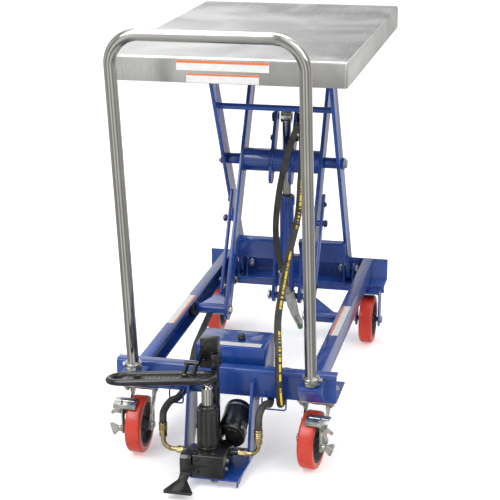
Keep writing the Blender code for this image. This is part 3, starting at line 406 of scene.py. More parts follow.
def sweep(work, points, radius, sides=16, closed=False):
    """A round tube along points. radius may be a function of the share of the way along.

    Its UVs run once round the tube in U, and along it in metres in V.
    """
    count = len(points)
    grid, lengths, travelled, side = [], [], 0.0, None
    for index, point in enumerate(points):
        if closed:
            ahead, back = points[(index + 1) % count], points[index - 1]
        else:
            ahead, back = points[min(index + 1, count - 1)], points[max(index - 1, 0)]
        tangent = (ahead - back).normalized()
        side = side or tangent.orthogonal()
        side = (side - tangent * side.dot(tangent)).normalized()
        other = tangent.cross(side)
        size = radius(index / (count - 1)) if callable(radius) else radius
        row = []
        for step in range(sides):
            angle = 2 * math.pi * step / sides
            row.append(work.verts.new(point + (side * math.cos(angle) + other * math.sin(angle)) * size))
        grid.append(row)
        if index:
            travelled += (point - points[index - 1]).length
        lengths.append(travelled)
    sheet = work.loops.layers.uv.verify()
    for index in range(count if closed else count - 1):
        after = (index + 1) % count
        for step in range(sides):
            turn = (step + 1) % sides
            face = work.faces.new((grid[index][step], grid[index][turn],
                                   grid[after][turn], grid[after][step]))
            shares = (step / sides, (step + 1) / sides, (step + 1) / sides, step / sides)
            rises = (lengths[index], lengths[index], lengths[after], lengths[after])
            for loop, share, rise in zip(face.loops, shares, rises):
                loop[sheet].uv = (share, rise)
    if not closed:
        work.faces.new(grid[0][::-1])
        work.faces.new(grid[-1])


def arc(centre, radius, start, end, count):
    """count + 1 points of an arc between two angles in degrees."""
    angles = [math.radians(start + (end - start) * step / count) for step in range(count + 1)]
    return [(centre[0] + radius * math.cos(angle), centre[1] + radius * math.sin(angle))
            for angle in angles]


def bend(start, here, end, steps):
    """steps + 1 points of a curve from start to end that is drawn towards here."""
    shares = [step / steps for step in range(steps + 1)]
    return [start * (1 - u) ** 2 + here * 2 * u * (1 - u) + end * u * u for u in shares]


def rounded(points, radius, steps=5):
    """A polygon with each corner rounded to radius, or to as much as fits."""
    outline = []
    for index, point in enumerate(points):
        here = Vector(point)
        back = Vector(points[index - 1]) - here
        ahead = Vector(points[(index + 1) % len(points)]) - here
        half = back.angle(ahead) / 2
        reach = min(radius / math.tan(half), 0.45 * back.length, 0.45 * ahead.length)
        start, end = here + back.normalized() * reach, here + ahead.normalized() * reach
        outline += [tuple(point) for point in bend(start, here, end, steps)]
    return outline


def upright(x, y):
    """A frame on the floor that points up."""
    return aim(P(x, y, 0), (0, 0, 1))


def across_x(x):
    """A frame for an outline of (y, z) points, whose thickness runs towards +X from x."""
    return Matrix(((0, 0, 1, x), (1, 0, 0, FRONT), (0, 1, 0, 0), (0, 0, 0, 1)))


def hex_head(work, place, axis, radius, height, washer=0.0):
    """A chamfered hexagon, on a washer where a radius for one is given."""
    where = aim(place, axis)
    if washer:
        lathe(work, [(0, washer), (0.0013, washer), (0.0016, washer - 0.0004)], where, 32)
    base = 0.0014 if washer else 0.0
    top = base + height
    lathe(work, [(base, radius), (top - 0.14 * radius, radius), (top, 0.84 * radius)], where, 6)


def bolt_pair(work, near, place, size, way=1):
    """A head on each side, near from the middle at (y, z), that faces out, or in where way is -1."""
    for side in (-1, 1):
        hex_head(work, P(near * side, *place), (way * side, 0, 0), *size)


def socket_head(work, place, axis, radius, height):
    """A cap screw with a hollow in its head."""
    lathe(work, [(0, radius), (height - 0.0005, radius), (height, radius - 0.0005), (height, 0.55 * radius),
                 (0.55 * height, 0.5 * radius), (0.5 * height, 0)], aim(place, axis), 24)


def bead(work, start, end, radius):
    """A run of weld: a rod whose width ripples along it."""
    start, end = P(*start), P(*end)
    length = (end - start).length
    count = max(6, round(length / 0.0012))
    points = [start.lerp(end, step / count) for step in range(count + 1)]

    def size(share):
        ripple = 0.8 + 0.2 * math.cos(share * length / 0.0045 * 2 * math.pi)
        return radius * ripple * min(1.0, 0.5 + 8 * min(share, 1 - share))

    sweep(work, points, size, 10)


def put(name, data):
    """An object in the scene that shows data."""
    obj = bpy.data.objects.new(name, data)
    bpy.context.scene.collection.objects.link(obj)
    return obj


def piece(name, look, body, build, smooth=34, replaces=(), turn=None):
    """Makes one named object from what build() adds to a mesh, and lets it ride on its body."""
    work = bmesh.new()
    build(work)
    if turn:
        bmesh.ops.transform(work, matrix=turn, verts=work.verts)
    bmesh.ops.recalc_face_normals(work, faces=work.faces)
    mesh = bpy.data.meshes.new(name)
    work.to_mesh(mesh)
    work.free()
    mesh.materials.append(LOOKS[look])
    mesh.shade_smooth()
    mesh.set_sharp_from_angle(angle=math.radians(smooth))
    obj = put(name, mesh)
    if body:
        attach(obj, body)
    if replaces:
        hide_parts(*replaces)
    return obj


def body_of(node):
    """The body that a CAD node rides on."""
    return frame["nodes"][node]["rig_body"]


def finished(node, look, edge=0.0007, sharp=28):
    """A copy of a CAD node with its seams welded, its flat faces whole and its edges broken."""
    source = frame["nodes"][node].data

    def build(work):
        work.from_mesh(source)
        bmesh.ops.remove_doubles(work, verts=work.verts, dist=2e-6)
        bmesh.ops.dissolve_limit(work, angle_limit=math.radians(1.0), verts=work.verts, edges=work.edges)
        if edge:
            crisp = [rim for rim in work.edges
                     if len(rim.link_faces) == 2 and rim.calc_face_angle() > math.radians(sharp)
                     and rim.calc_length() > 2.5 * edge]
            bmesh.ops.bevel(work, geom=crisp, offset=edge, segments=2, profile=0.5, affect="EDGES",
                            clamp_overlap=True)
        bmesh.ops.triangulate(work, faces=[face for face in work.faces if len(face.verts) > 4])

    return piece(node + "_finished", look, body_of(node), build, replaces=[node])


# ---------------------------------------------------------------- wheels and casters
WHEEL = 0.0625                                                  # radius, and the axles' height
AXLE = 0.006
CASTERS = {"left": (-0.1914, 0.0), "right": (0.1974, -6.5)}     # the swivel axis's x, degrees of turn
FRONT_AXLE_Y, SWIVEL_Y = -0.0058, 0.042
PLATE_BOLT_X, PLATE_BOLT_Y = 0.031, (-0.03, 0.034)              # from the swivel axis
REAR_WHEEL = (0.2038, 0.7427)


def wheel(name, x, y, turn=None):
    """A cast tread with round shoulders on a hub that is dished towards its bore."""
    body = body_of(name + "_tyre")
    where = aim(P(x, y, WHEEL), (1, 0, 0))

    def tyre(work):
        half, rim, shoulder = 0.017, 0.0487, 0.006
        profile = [(-half, rim + 0.0006), (-half, WHEEL - shoulder)]
        curve = arc((0, 0), shoulder, 90, 0, 8)[1:]
        profile += [(shoulder - half - a, WHEEL - shoulder + r) for r, a in curve]
        right = [(-along, radius) for along, radius in profile[::-1]]
        lathe(work, profile + right + [(half - 0.0006, rim), (-half + 0.0006, rim)], where, 96, ring=True)

    def hub(work):
        half, edge = 0.0168, 0.0484
        side = [(half - 0.0008, edge), (half, edge - 0.0008), (half, edge - 0.0046),
                (half - 0.0014, edge - 0.0066), (0.0085, edge - 0.0092), (0.0068, edge - 0.0112),
                (0.0062, edge - 0.015), (0.0062, 0.0205), (0.0078, 0.0172), (0.015, 0.015), (0.019, 0.0136),
                (0.0203, 0.0122), (0.0203, AXLE + 0.0006)]
        lathe(work, side + [(-along, radius) for along, radius in side[::-1]], where, 64, ring=True)

    def bearings(work):
        for side in (-1, 1):
            seat = aim(P(x + 0.0197 * side, y, WHEEL), (side, 0, 0))
            lathe(work, [(0, AXLE + 0.0002), (0, 0.0108), (0.0012, 0.0112), (0.0018, 0.0104),
                         (0.0012, 0.0092), (0.0022, 0.0084), (0.0022, AXLE + 0.0002)], seat, 40, ring=True)

    piece(name + "_tread", "red", body, tyre, replaces=[name + "_tyre"], turn=turn)
    piece(name + "_centre", "nylon", body, hub, replaces=[name + "_hub"], turn=turn)
    piece(name + "_bearing_caps", "zinc", body, bearings, turn=turn)


def caster(side_name, side):
    """A swivel caster: its plate stays on the frame, and all below the raceway turns with the fork."""
    y, swivel = FRONT_AXLE_Y, SWIVEL_Y
    x, angle = CASTERS[side_name]
    centre = P(x, swivel, 0)
    turn = Matrix.Rotation(math.radians(angle), 4, "Z")
    turn = Matrix.Translation(centre) @ turn @ Matrix.Translation(-centre)
    finished("caster_plate_" + side_name, "zinc", 0.0008)
    finished("caster_fork_" + side_name, "zinc", 0.0009)
    fork = body_of("caster_fork_" + side_name)

    def raceway(work):
        top = upright(x, swivel)
        lathe(work, [(0.133, 0.0232), (0.1338, 0.0246), (0.1352, 0.025), (0.1366, 0.0242), (0.137, 0.0225)],
              top, 56)
        lathe(work, [(0.1266, 0.0078), (0.1274, 0.0092), (0.13, 0.0092), (0.1304, 0.014), (0.1332, 0.015)],
              top, 40)

    def dome(work):
        lathe(work, [(0.1375, 0.0236), (0.138, 0.0256), (0.1392, 0.0268), (0.1404, 0.0272),
                     (0.1414, 0.0284), (0.1418, 0.0284)], upright(x, swivel), 56)

    def axle(work):
        for way in (-1, 1):
            place = P(x + 0.0263 * way, y, WHEEL)
            lathe(work, [(0, 0.0122), (0.0006, 0.0126), (0.0016, 0.0126), (0.002, 0.012)],
                  aim(place, (way, 0, 0)), 40)
            hex_head(work, place + Vector((0.002 * way, 0, 0)), (way, 0, 0), 0.0099, 0.0052)
            lathe(work, [(0, 0.0058), (0.0004, 0.0062), (0.0014, 0.0062), (0.0018, 0.005)],
                  aim(place + Vector((0.0066 * way, 0, 0)), (way, 0, 0)), 24)

    def flanges(work):
        for way in (-1, 1):
            foot = P(x + 0.0247 * way, y + 0.004, 0.099)
            head = P(x + 0.0247 * way, swivel - 0.006, 0.129)
            sweep(work, [foot.lerp(head, step / 10) for step in range(11)],
                  lambda share: 0.0032 * (1.0 - 0.55 * abs(2 * share - 1) ** 3), 12)

    piece("caster_raceway_" + side_name, "zinc", fork, raceway, turn=turn)
    piece("caster_dome_" + side_name, "zinc", "root", dome)
    piece("caster_axle_nuts_" + side_name, "zinc", fork, axle, turn=turn)
    piece("caster_fork_swages_" + side_name, "zinc", fork, flanges, turn=turn)
    brake(side_name, side, x, y, turn)
    wheel("front_wheel_" + side_name, x, y, turn)

    def nuts(work):
        for across in (-1, 1):
            for along in PLATE_BOLT_Y:
                place = P(x + PLATE_BOLT_X * across, swivel + along, 0.1416)
                hex_head(work, place, (0, 0, -1), 0.007, 0.005, 0.0085)
                tip = aim(place - Vector((0, 0, 0.0062)), (0, 0, -1))
                lathe(work, [(0, 0.0038), (0.0032, 0.0034)], tip, 20)

    piece("caster_plate_nuts_" + side_name, "zinc", "root", nuts)


def brake(side_name, side, x, y, turn):
    """A pressed toe lever: an arm outside the fork, a shoe over the tread, a hook and a fan-shaped toe."""
    body = body_of("brake_lever_" + side_name)
    near, far = sorted((x + 0.0268 * side, x + 0.0298 * side))

    def lever(work):
        arm = [(y - 0.022, 0.091), (y - 0.006, 0.0885), (y + 0.004, 0.093), (y + 0.004, 0.11),
               (y - 0.006, 0.1225), (y - 0.018, 0.128), (y - 0.042, 0.128), (y - 0.042, 0.1215),
               (y - 0.036, 0.118), (y - 0.036, 0.052), (y - 0.02, 0.048), (y - 0.022, 0.08)]
        prism(work, rounded(arm, 0.0035), far - near, across_x(near), 0.0006)
        inner, outer = sorted((x - 0.004 * side, x + 0.046 * side))
        line = [(y - 0.0445, 0.116), (y - 0.0425, 0.1225), (y - 0.0345, 0.126), (y - 0.024, 0.1282),
                (y - 0.013, 0.1276)]
        lower = [(a + 0.0004, b - 0.0021) for a, b in line]
        prism(work, line + lower[::-1], outer - inner, across_x(inner), 0.0004)
        rib = [P(x + (0.002 + 0.0042 * step) * side, y - 0.03, 0.1272) for step in range(11)]
        sweep(work, rib, 0.0012, 10)
        facing = Matrix(((side, 0, 0, x), (0, 0, -1, y - 0.029 + FRONT), (0, 1, 0, 0), (0, 0, 0, 1)))
        hook = [(0.0275, 0.096), (0.04, 0.0985), (0.047, 0.0965), (0.052, 0.0935), (0.0555, 0.0975),
                (0.0525, 0.103), (0.045, 0.1075), (0.036, 0.106), (0.0275, 0.11)]
        fan = [(0.0275, 0.074), (0.037, 0.067), (0.048, 0.0715), (0.0565, 0.0745), (0.0585, 0.071),
               (0.055, 0.058), (0.05, 0.045), (0.046, 0.0455), (0.037, 0.056), (0.0275, 0.052)]
        prism(work, rounded(hook, 0.0022), 0.0028, facing, 0.0006)
        prism(work, rounded(fan, 0.0026), 0.0028, facing, 0.0006)

    def pivot(work):
        hex_head(work, P(x + 0.0298 * side, y - 0.01, 0.1), (side, 0, 0), 0.0058, 0.0036, 0.0072)
        lathe(work, [(0, 0.005), (0.001, 0.0058), (0.004, 0.0058), (0.0052, 0.0046)],
              aim(P(x + 0.034 * side, y - 0.0318, 0.0625), (0, -1, 0)), 28)
        spring = [P(x + 0.0283 * side, y - 0.0405, 0.1222), P(x + 0.029 * side, y - 0.0435, 0.1165),
                  P(x + 0.03 * side, y - 0.043, 0.111), P(x + 0.0305 * side, y - 0.0395, 0.1075)]
        sweep(work, smooth_route(spring, 0.002), 0.0015, 12)

    piece("brake_pedal_" + side_name, "zinc", body, lever, replaces=["brake_lever_" + side_name], turn=turn)
    piece("brake_spring_" + side_name, "zinc", body, pivot, turn=turn)


# ---------------------------------------------------------------- base frame
PIVOT_Y, ROLL_Y, LOW_Z, HIGH_Z = 0.8008, 0.4314, 0.1765, 0.8455  # the arms' pivots and rollers


def base_frame():
    """Rails, cross members and wheels, with their welds, bolts and labels."""
    finished("front_cross_member", "blue", 0.0007)
    finished("rear_cross_member", "blue", 0.0007)
    for side_name, side in SIDES:
        finished("rail_" + side_name, "blue", 0.0009)
        finished("rear_wheel_fork_" + side_name, "blue", 0.0008)
        caster(side_name, side)
        wheel("rear_wheel_" + side_name, REAR_WHEEL[0] * side, REAR_WHEEL[1])

    def welds(work):
        for side in (-1, 1):
            inner, outer = 0.178 * side, 0.203 * side
            bead(work, (inner, 0.03, 0.2003), (outer, 0.03, 0.2003), 0.002)
            bead(work, (inner, 0.8293, 0.1985), (inner, 0.8293, 0.156), 0.002)
            for place in (0.1665, 0.2185):
                bead(work, (place * side, -0.0006, 0.156), (place * side, -0.0006, 0.195), 0.0018)
            bead(work, (0.167 * side, -0.001, 0.1972), (0.218 * side, -0.001, 0.1972), 0.0018)
            for near in (0.129, 0.158):
                bead(work, (near * side, 0.786, 0.147), (near * side, 0.815, 0.147), 0.0018)
        for across in (-0.072, 0.061):
            bead(work, (across, -0.0008, 0.148), (across, -0.0008, 0.185), 0.0018)

    def spatter(work):
        for across, rise in ((0.2132, 0.199), (0.2162, 0.1901), (0.2205, 0.1875), (0.2199, 0.179),
                             (0.2242, 0.1726)):
            lathe(work, [(-0.0004, 0.0016), (0.0004, 0.0013), (0.0008, 0.0006), (0.0009, 0)],
                  aim(P(across, 0.0, rise), (0, -1, 0)), 14)

    def bolts(work):
        for side_name, side in SIDES:
            for along in PLATE_BOLT_Y:
                place = P(CASTERS[side_name][0] + PLATE_BOLT_X * side, SWIVEL_Y + along, 0.1485)
                hex_head(work, place, (0, 0, 1), 0.0068, 0.0048, 0.0086)
            hex_head(work, P(0.1985 * side, 0.8326, 0.178), (0, 1, 0), 0.0068, 0.0046, 0.0086)
        for way in (-1, 1):
            near = REAR_WHEEL[0] + 0.0317 * way
            bolt_pair(work, near, (REAR_WHEEL[1], WHEEL), (0.0096, 0.0046, 0.0116), way)
        for near, way in ((0.1612, 1), (0.1228, -1)):
            bolt_pair(work, near, (PIVOT_Y, LOW_Z), (0.0102, 0.006, 0.0122), way)

    piece("frame_welds", "blue", "root", welds, 60)
    piece("weld_spatter", "blue", "root", spatter, 60)
    piece("frame_bolts", "zinc", "root", bolts)

    def rail_labels(work):
        for low, high in ((-0.202, -0.1825), (0.1825, 0.202)):
            cube(work, (low, 0.254, 0.2005), (high, 0.45, 0.2009))

    def rail_bands(work):
        for low, high in ((-0.1874, -0.1828), (0.1828, 0.1874)):
            cube(work, (low, 0.2545, 0.2007), (high, 0.4495, 0.2011))

    piece("rail_labels", "white_film", "root", rail_labels)
    piece("rail_label_bands", "orange_film", "root", rail_bands)


# ---------------------------------------------------------------- scissor legs and lift
CENTRE = (0.6161, 0.511)                                        # the arms' crossing, (y, z)
LIFT_FOOT, LIFT_EYE = Vector((0.675, 0.135)), Vector((0.666, 0.612))
LIFT_LINE = (LIFT_EYE - LIFT_FOOT).normalized()
ARM_FOOT = Vector((0.596, 0.475))
PROP_FOOT, PROP_TIP = Vector((0.436, 0.221)), Vector((0.556, 0.439))


def on_cylinder(reach):
    """A frame on the cylinder's line, at a distance from its foot pin."""
    return aim(P(0, *(LIFT_FOOT + LIFT_LINE * reach)), (0, *LIFT_LINE))


def legs():
    """The crossed arms, their pins and rollers, the safety props and the cylinder."""
    for side_name, _ in SIDES:
        for node in ("outer_leg_", "inner_leg_", "deck_rail_", "safety_prop_"):
            finished(node + side_name, "blue", 0.0008)
        for node in ("rail_roller_", "deck_roller_"):
            finished(node + side_name, "nylon", 0.0009)
    for node, look, bevel in (("torque_tube", "blue", 0.0008), ("tie_tube", "blue", 0.0),
                              ("cross_plate", "blue", 0.0008), ("cylinder_barrel", "blue", 0.0008),
                              ("cylinder_rod", "chrome", 0.0006)):
        finished(node, look, bevel)
    lift_pins()
    rollers()
    safety_props()
    cylinder_trim()


def lift_pins():
    """The heads on the arms' crossing, on the lift arms and on the deck's hinge, and the tube's welds."""
    def arm_bolts(work):
        lean = (LIFT_EYE - ARM_FOOT).normalized()
        for reach in (0.0985, 0.1465):
            bolt_pair(work, 0.0285, ARM_FOOT + lean * reach, (0.0075, 0.0055, 0.009))
        bolt_pair(work, 0.0285, LIFT_EYE, (0.0118, 0.0062, 0.0145))

    def tube_welds(work):
        for side in (-1, 1):
            for near in (0.0945, 0.029, 0.021):
                ring = [P(near * side, *spot) for spot in arc(CENTRE, 0.029, 0, 355, 71)]
                sweep(work, ring, 0.0019, 10, closed=True)

    def deck_pins(work):
        for near, way in ((0.0922, -1), (0.114, 1)):
            bolt_pair(work, near, (PIVOT_Y, HIGH_Z), (0.009, 0.005, 0.0108), way)

    piece("cross_pin_heads", "zinc", "inner_legs",
          lambda work: bolt_pair(work, 0.1542, CENTRE, (0.0118, 0.0062, 0.015)))
    piece("lift_arm_bolts", "black", "inner_legs", arm_bolts)
    piece("torque_tube_welds", "blue", "inner_legs", tube_welds, 60)
    piece("deck_hinge_heads", "zinc", "deck", deck_pins)


def rollers():
    """The caps and heads on the rollers' axles."""
    def rail_caps(work):
        for side in (-1, 1):
            lathe(work, [(0, 0.0088), (0.001, 0.0092), (0.0016, 0.0084)],
                  aim(P(0.1946 * side, ROLL_Y, LOW_Z), (side, 0, 0)), 32)
        bolt_pair(work, 0.0952, (ROLL_Y, LOW_Z), (0.0105, 0.006, 0.0125), -1)

    def deck_caps(work):
        bolt_pair(work, 0.1665, (ROLL_Y, HIGH_Z), (0.006, 0.0036, 0.0074))
        bolt_pair(work, 0.1392, (ROLL_Y, HIGH_Z), (0.008, 0.005, 0.0095), -1)

    piece("rail_roller_caps", "zinc", "inner_legs", rail_caps)
    piece("deck_roller_caps", "zinc", "outer_legs", deck_caps)


def safety_props():
    """A pivot bolt and two smaller ones on each prop."""
    small, large = (0.0056, 0.004, 0.007), (0.0085, 0.0056, 0.0102)
    for side_name, side in SIDES:
        def bolts(work, side=side):
            for share, near, size in ((0.74, 0.1226, large), (0.93, 0.118, small), (0.12, 0.118, small)):
                place = P(near * side, *PROP_FOOT.lerp(PROP_TIP, share))
                hex_head(work, place, (side, 0, 0), *size)

        piece("safety_prop_bolts_" + side_name, "black", body_of("safety_prop_" + side_name), bolts)


def cylinder_trim():
    """The cylinder's gland nut, foot collar and wiper, and the heads of its foot pin."""
    def gland(work):
        lathe(work, [(0, 0.018), (0, 0.02), (0.0006, 0.0206), (0.0052, 0.0206), (0.0058, 0.0197),
                     (0.0082, 0.0197), (0.0088, 0.0204), (0.0218, 0.0204), (0.0242, 0.0188),
                     (0.0246, 0.016), (0.0246, 0.0118), (0.018, 0.0118), (0.018, 0.018)],
              on_cylinder(0.248), 56, ring=True)
        lathe(work, [(0, 0.0176), (0.001, 0.0196), (0.003, 0.0202), (0.005, 0.0196), (0.006, 0.0176)],
              on_cylinder(0.02), 48, ring=True)

    def wiper(work):
        lathe(work, [(0, 0.0112), (0, 0.0158), (0.0016, 0.0152), (0.003, 0.0128), (0.0034, 0.0113)],
              on_cylinder(0.2722), 48, ring=True)

    piece("cylinder_gland", "blue", "cylinder_barrel", gland)
    piece("cylinder_wiper", "nylon", "cylinder_barrel", wiper)
    piece("cylinder_pin_heads", "zinc", "outer_legs",
          lambda work: bolt_pair(work, 0.0443, LIFT_FOOT, (0.0112, 0.005, 0.0136)))


UNION_TOP, UNION_LOW, BODY_TOP = (-0.001, 0.613, 0.223), (0.0014, 0.622, 0.19), (0.0129, 0.639, 0.155)
BODY_LOW, COIL_LOW, SLEEVE_LOW = (0.0225, 0.668, 0.0905), (0.0273, 0.7035, 0.053), (0.0275, 0.7205, 0.0315)
VALVE_FACE, VALVE_FACING = (0.018, 0.652, 0.123), (0.35, -0.9, 0.15)


def lowering_valve():
    """The valve at the foot of the cylinder: union, die-cast body, coil and its sleeve."""
    def stretch(start, end):
        start, end = P(*start), P(*end)
        return aim(start, end - start), (end - start).length

    def union(work):
        where, length = stretch(UNION_TOP, UNION_LOW)
        lathe(work, [(0, 0.008), (0.0004, 0.0094), (0.0034, 0.0097), (0.0044, 0.009), (0.006, 0.0097),
                     (0.009, 0.0097), (0.01, 0.009), (0.0116, 0.0097), (0.015, 0.0099), (0.016, 0.0086),
                     (0.019, 0.0082), (length, 0.0082), (length, 0.006)], where, 40)
        where, length = stretch(UNION_LOW, BODY_TOP)
        lathe(work, [(-0.006, 0.0096), (-0.005, 0.0106), (0.007, 0.0106), (0.0082, 0.0096)], where, 6)
        lathe(work, [(0.008, 0.0084), (0.02, 0.0084), (0.0206, 0.0092), (length, 0.0092)], where, 36)

    def body(work):
        where, length = stretch((0.012, 0.638, 0.157), BODY_LOW)
        lathe(work, [(0, 0.0092), (0.0012, 0.0108), (0.008, 0.0116), (0.01, 0.0128), (0.044, 0.0132),
                     (0.056, 0.0122), (length, 0.0112), (length + 0.0012, 0.01)], where, 44)
        pad = rounded([(-0.0105, -0.0105), (0.0105, -0.0105), (0.0105, 0.0105), (-0.0105, 0.0105)], 0.003)
        prism(work, pad, 0.0155, aim(P(*VALVE_FACE), VALVE_FACING), 0.0012)
        cube(work, (-0.0125, 0.63, 0.164), (0.01, 0.656, 0.198), 0.004, 4)

    def coil(work):
        screw = P(*VALVE_FACE) + Vector(VALVE_FACING).normalized() * 0.0152
        socket_head(work, screw, VALVE_FACING, 0.0072, 0.003)
        where, length = stretch(BODY_LOW, COIL_LOW)
        lathe(work, [(-0.001, 0.0098), (0.0006, 0.0104), (0.006, 0.0104), (0.0066, 0.0097),
                     (0.0076, 0.0097), (0.0082, 0.0104), (0.033, 0.0104), (0.0336, 0.0097),
                     (0.0346, 0.0097), (0.0352, 0.0103), (length - 0.002, 0.0103), (length, 0.009)],
              where, 44)

    def clip(work):
        wire = [P(0.004, 0.631, 0.156), P(0.012, 0.626, 0.153), P(0.0235, 0.63, 0.149),
                P(0.028, 0.64, 0.145), P(0.025, 0.652, 0.141)]
        sweep(work, smooth_route(wire, 0.002), 0.001, 10)

    def sleeve(work):
        where, length = stretch(COIL_LOW, SLEEVE_LOW)
        profile, ribs = [(-0.0005, 0)], 6
        for rib in range(ribs):
            start, size = length * rib / ribs, 0.0088 - 0.0004 * rib
            profile += [(start, size - 0.001), (start + 0.0006, size)]
            profile += [(start + 0.0028, size), (start + 0.0034, size - 0.001)]
        lathe(work, profile + [(length, 0.005)], where, 36)

    piece("valve_union", "zinc", "cylinder_barrel", union)
    piece("valve_casting", "casting", "cylinder_barrel", body, replaces=["cylinder_valve"])
    piece("valve_coil", "zinc", "cylinder_barrel", coil)
    piece("valve_clip", "zinc", "cylinder_barrel", clip)
    piece("valve_sleeve", "green", "cylinder_barrel", sleeve)


# ---------------------------------------------------------------- deck and handle
def deck():
    """The stainless pan and the plain labels on its front skirt."""
    finished("deck_pan", "steel", 0.0004)

    def plates(work):
        cube(work, (-0.1015, 0.0291, 0.841), (0.0913, 0.0298, 0.8615))
        cube(work, (-0.0808, 0.0291, 0.8162), (0.0707, 0.0298, 0.835))

    def bands(work):
        cube(work, (-0.1012, 0.0289, 0.856), (0.091, 0.0298, 0.8613))
        cube(work, (-0.0805, 0.0289, 0.831), (0.0704, 0.0298, 0.8348))

    piece("deck_labels", "white_film", "deck", plates)
    piece("deck_label_bands", "orange_film", "deck", bands)


def handle():
    """The bent push handle and the two sockets it stands in."""
    across, radius, corner = 0.193, 0.01245, 0.0625
    foot, top = Vector((-0.0316, 0.2085)), Vector((-0.1253, 0.936))
    up = top - foot
    rise = up.length
    up.normalize()

    def place(x, height):
        spot = foot + up * height
        return P(x, spot.x, spot.y)

    def tube(work):
        legs_up = [0.06 * step for step in range(12)]
        points = [place(-across, height) for height in legs_up]
        points += [place(*spot) for spot in arc((-across + corner, rise - corner), corner, 180, 90, 24)]
        points += [place(0.026 * step, rise) for step in range(-4, 5)]
        points += [place(*spot) for spot in arc((across - corner, rise - corner), corner, 90, 0, 24)]
        points += [place(across, height) for height in legs_up[::-1]]
        sweep(work, points, radius, 48)

    piece("push_handle_tube", "chrome", "root", tube, replaces=["push_handle"])
    for side_name, side in SIDES:
        where = aim(place(across * side, 0.0), (0, up.x, up.y))

        def collar(work, where=where, side=side):
            lathe(work, [(-0.008, 0.016), (-0.0066, 0.0184), (0.0026, 0.0184), (0.004, 0.0164)], where, 6)
            lathe(work, [(0.0036, 0.0126), (0.0036, 0.0162), (0.006, 0.0162), (0.0066, 0.0178),
                         (0.0076, 0.0184), (0.0098, 0.0184), (0.0108, 0.0176), (0.0112, 0.0156),
                         (0.0128, 0.0148), (0.0128, 0.0126)], where, 56, ring=True)

        def bolt(work, side=side):
            place = P((across + 0.0165) * side, -0.03, 0.211)
            hex_head(work, place, (side, 0.1, 0.06), 0.0052, 0.006, 0.0066)

        piece("handle_socket_" + side_name, "zinc", "root", collar, replaces=["handle_collar_" + side_name])
        piece("handle_socket_bolt_" + side_name, "zinc", "root", bolt)


# ---------------------------------------------------------------- hydraulics
PUMP = (-0.0113, -0.105)


def tank():
    """The oil reservoir with its cap, label and welds."""
    finished("oil_reservoir", "blue", 0.0006)

    def cap(work):
        where = aim(P(0.0165, 0.092, 0.2402), (0, 0, 1))
        lathe(work, [(0, 0.0084), (0.001, 0.0086), (0.005, 0.0086), (0.006, 0.0078)], where, 40)
        lathe(work, [(0.0058, 0.0066), (0.0108, 0.0066), (0.0118, 0.0057)], where, 6)

    def strip(work):
        cube(work, (-0.026, 0.051, 0.2398), (0.067, 0.07, 0.2403))

    def seams(work):
        low, high = (-0.0772, 0.046), (0.0777, 0.147)
        for across in (low[0], high[0]):
            bead(work, (across, low[1] + 0.003, 0.1492), (across, high[1] - 0.003, 0.1492), 0.0018)
        bead(work, (low[0] + 0.003, low[1], 0.1492), (high[0] - 0.003, low[1], 0.1492), 0.0018)

    piece("reservoir_cap", "black", "root", cap, replaces=["breather_cap"])
    piece("reservoir_label", "white_film", "root", strip)
    piece("reservoir_welds", "blue", "root", seams, 60)


def foot_pump():
    """The pump's block, barrel, plunger and tower, and all that is mounted on them."""
    finished("pump_cradle", "blue", 0.0008)
    finished("pump_block", "black", 0.0007)
    finished("pump_tower", "black", 0.0006)
    finished("release_pedal", "black", 0.0007)
    x, y = PUMP

    def barrel(work):
        profile = [(0.0718, 0.0126), (0.0718, 0.0222), (0.0726, 0.023), (0.077, 0.023), (0.0776, 0.0224),
                   (0.0788, 0.0224), (0.0794, 0.023), (0.157, 0.023), (0.1592, 0.0218), (0.16, 0.0194),
                   (0.164, 0.019), (0.167, 0.0172), (0.1679, 0.016), (0.1679, 0.0126)]
        lathe(work, profile, upright(x, y), 64, ring=True)

    def plunger(work):
        lathe(work, [(0.1042, 0.012), (0.2062, 0.012), (0.2084, 0.01), (0.2084, 0.0074), (0.2108, 0.0074),
                     (0.212, 0.006), (0.2124, 0.003)], upright(x, y), 56)

    def seal(work):
        lathe(work, [(0.1676, 0.0122), (0.1676, 0.0152), (0.169, 0.0148), (0.1698, 0.0134), (0.17, 0.0122)],
              upright(x, y), 48, ring=True)

    piece("pump_barrel_casting", "black", "root", barrel, replaces=["pump_barrel"])
    piece("pump_plunger_rod", "chrome", body_of("pump_plunger"), plunger, replaces=["pump_plunger"])
    piece("pump_seal", "nylon", "root", seal)
    canister()
    fasteners()
    pedal()
    hydraulics()


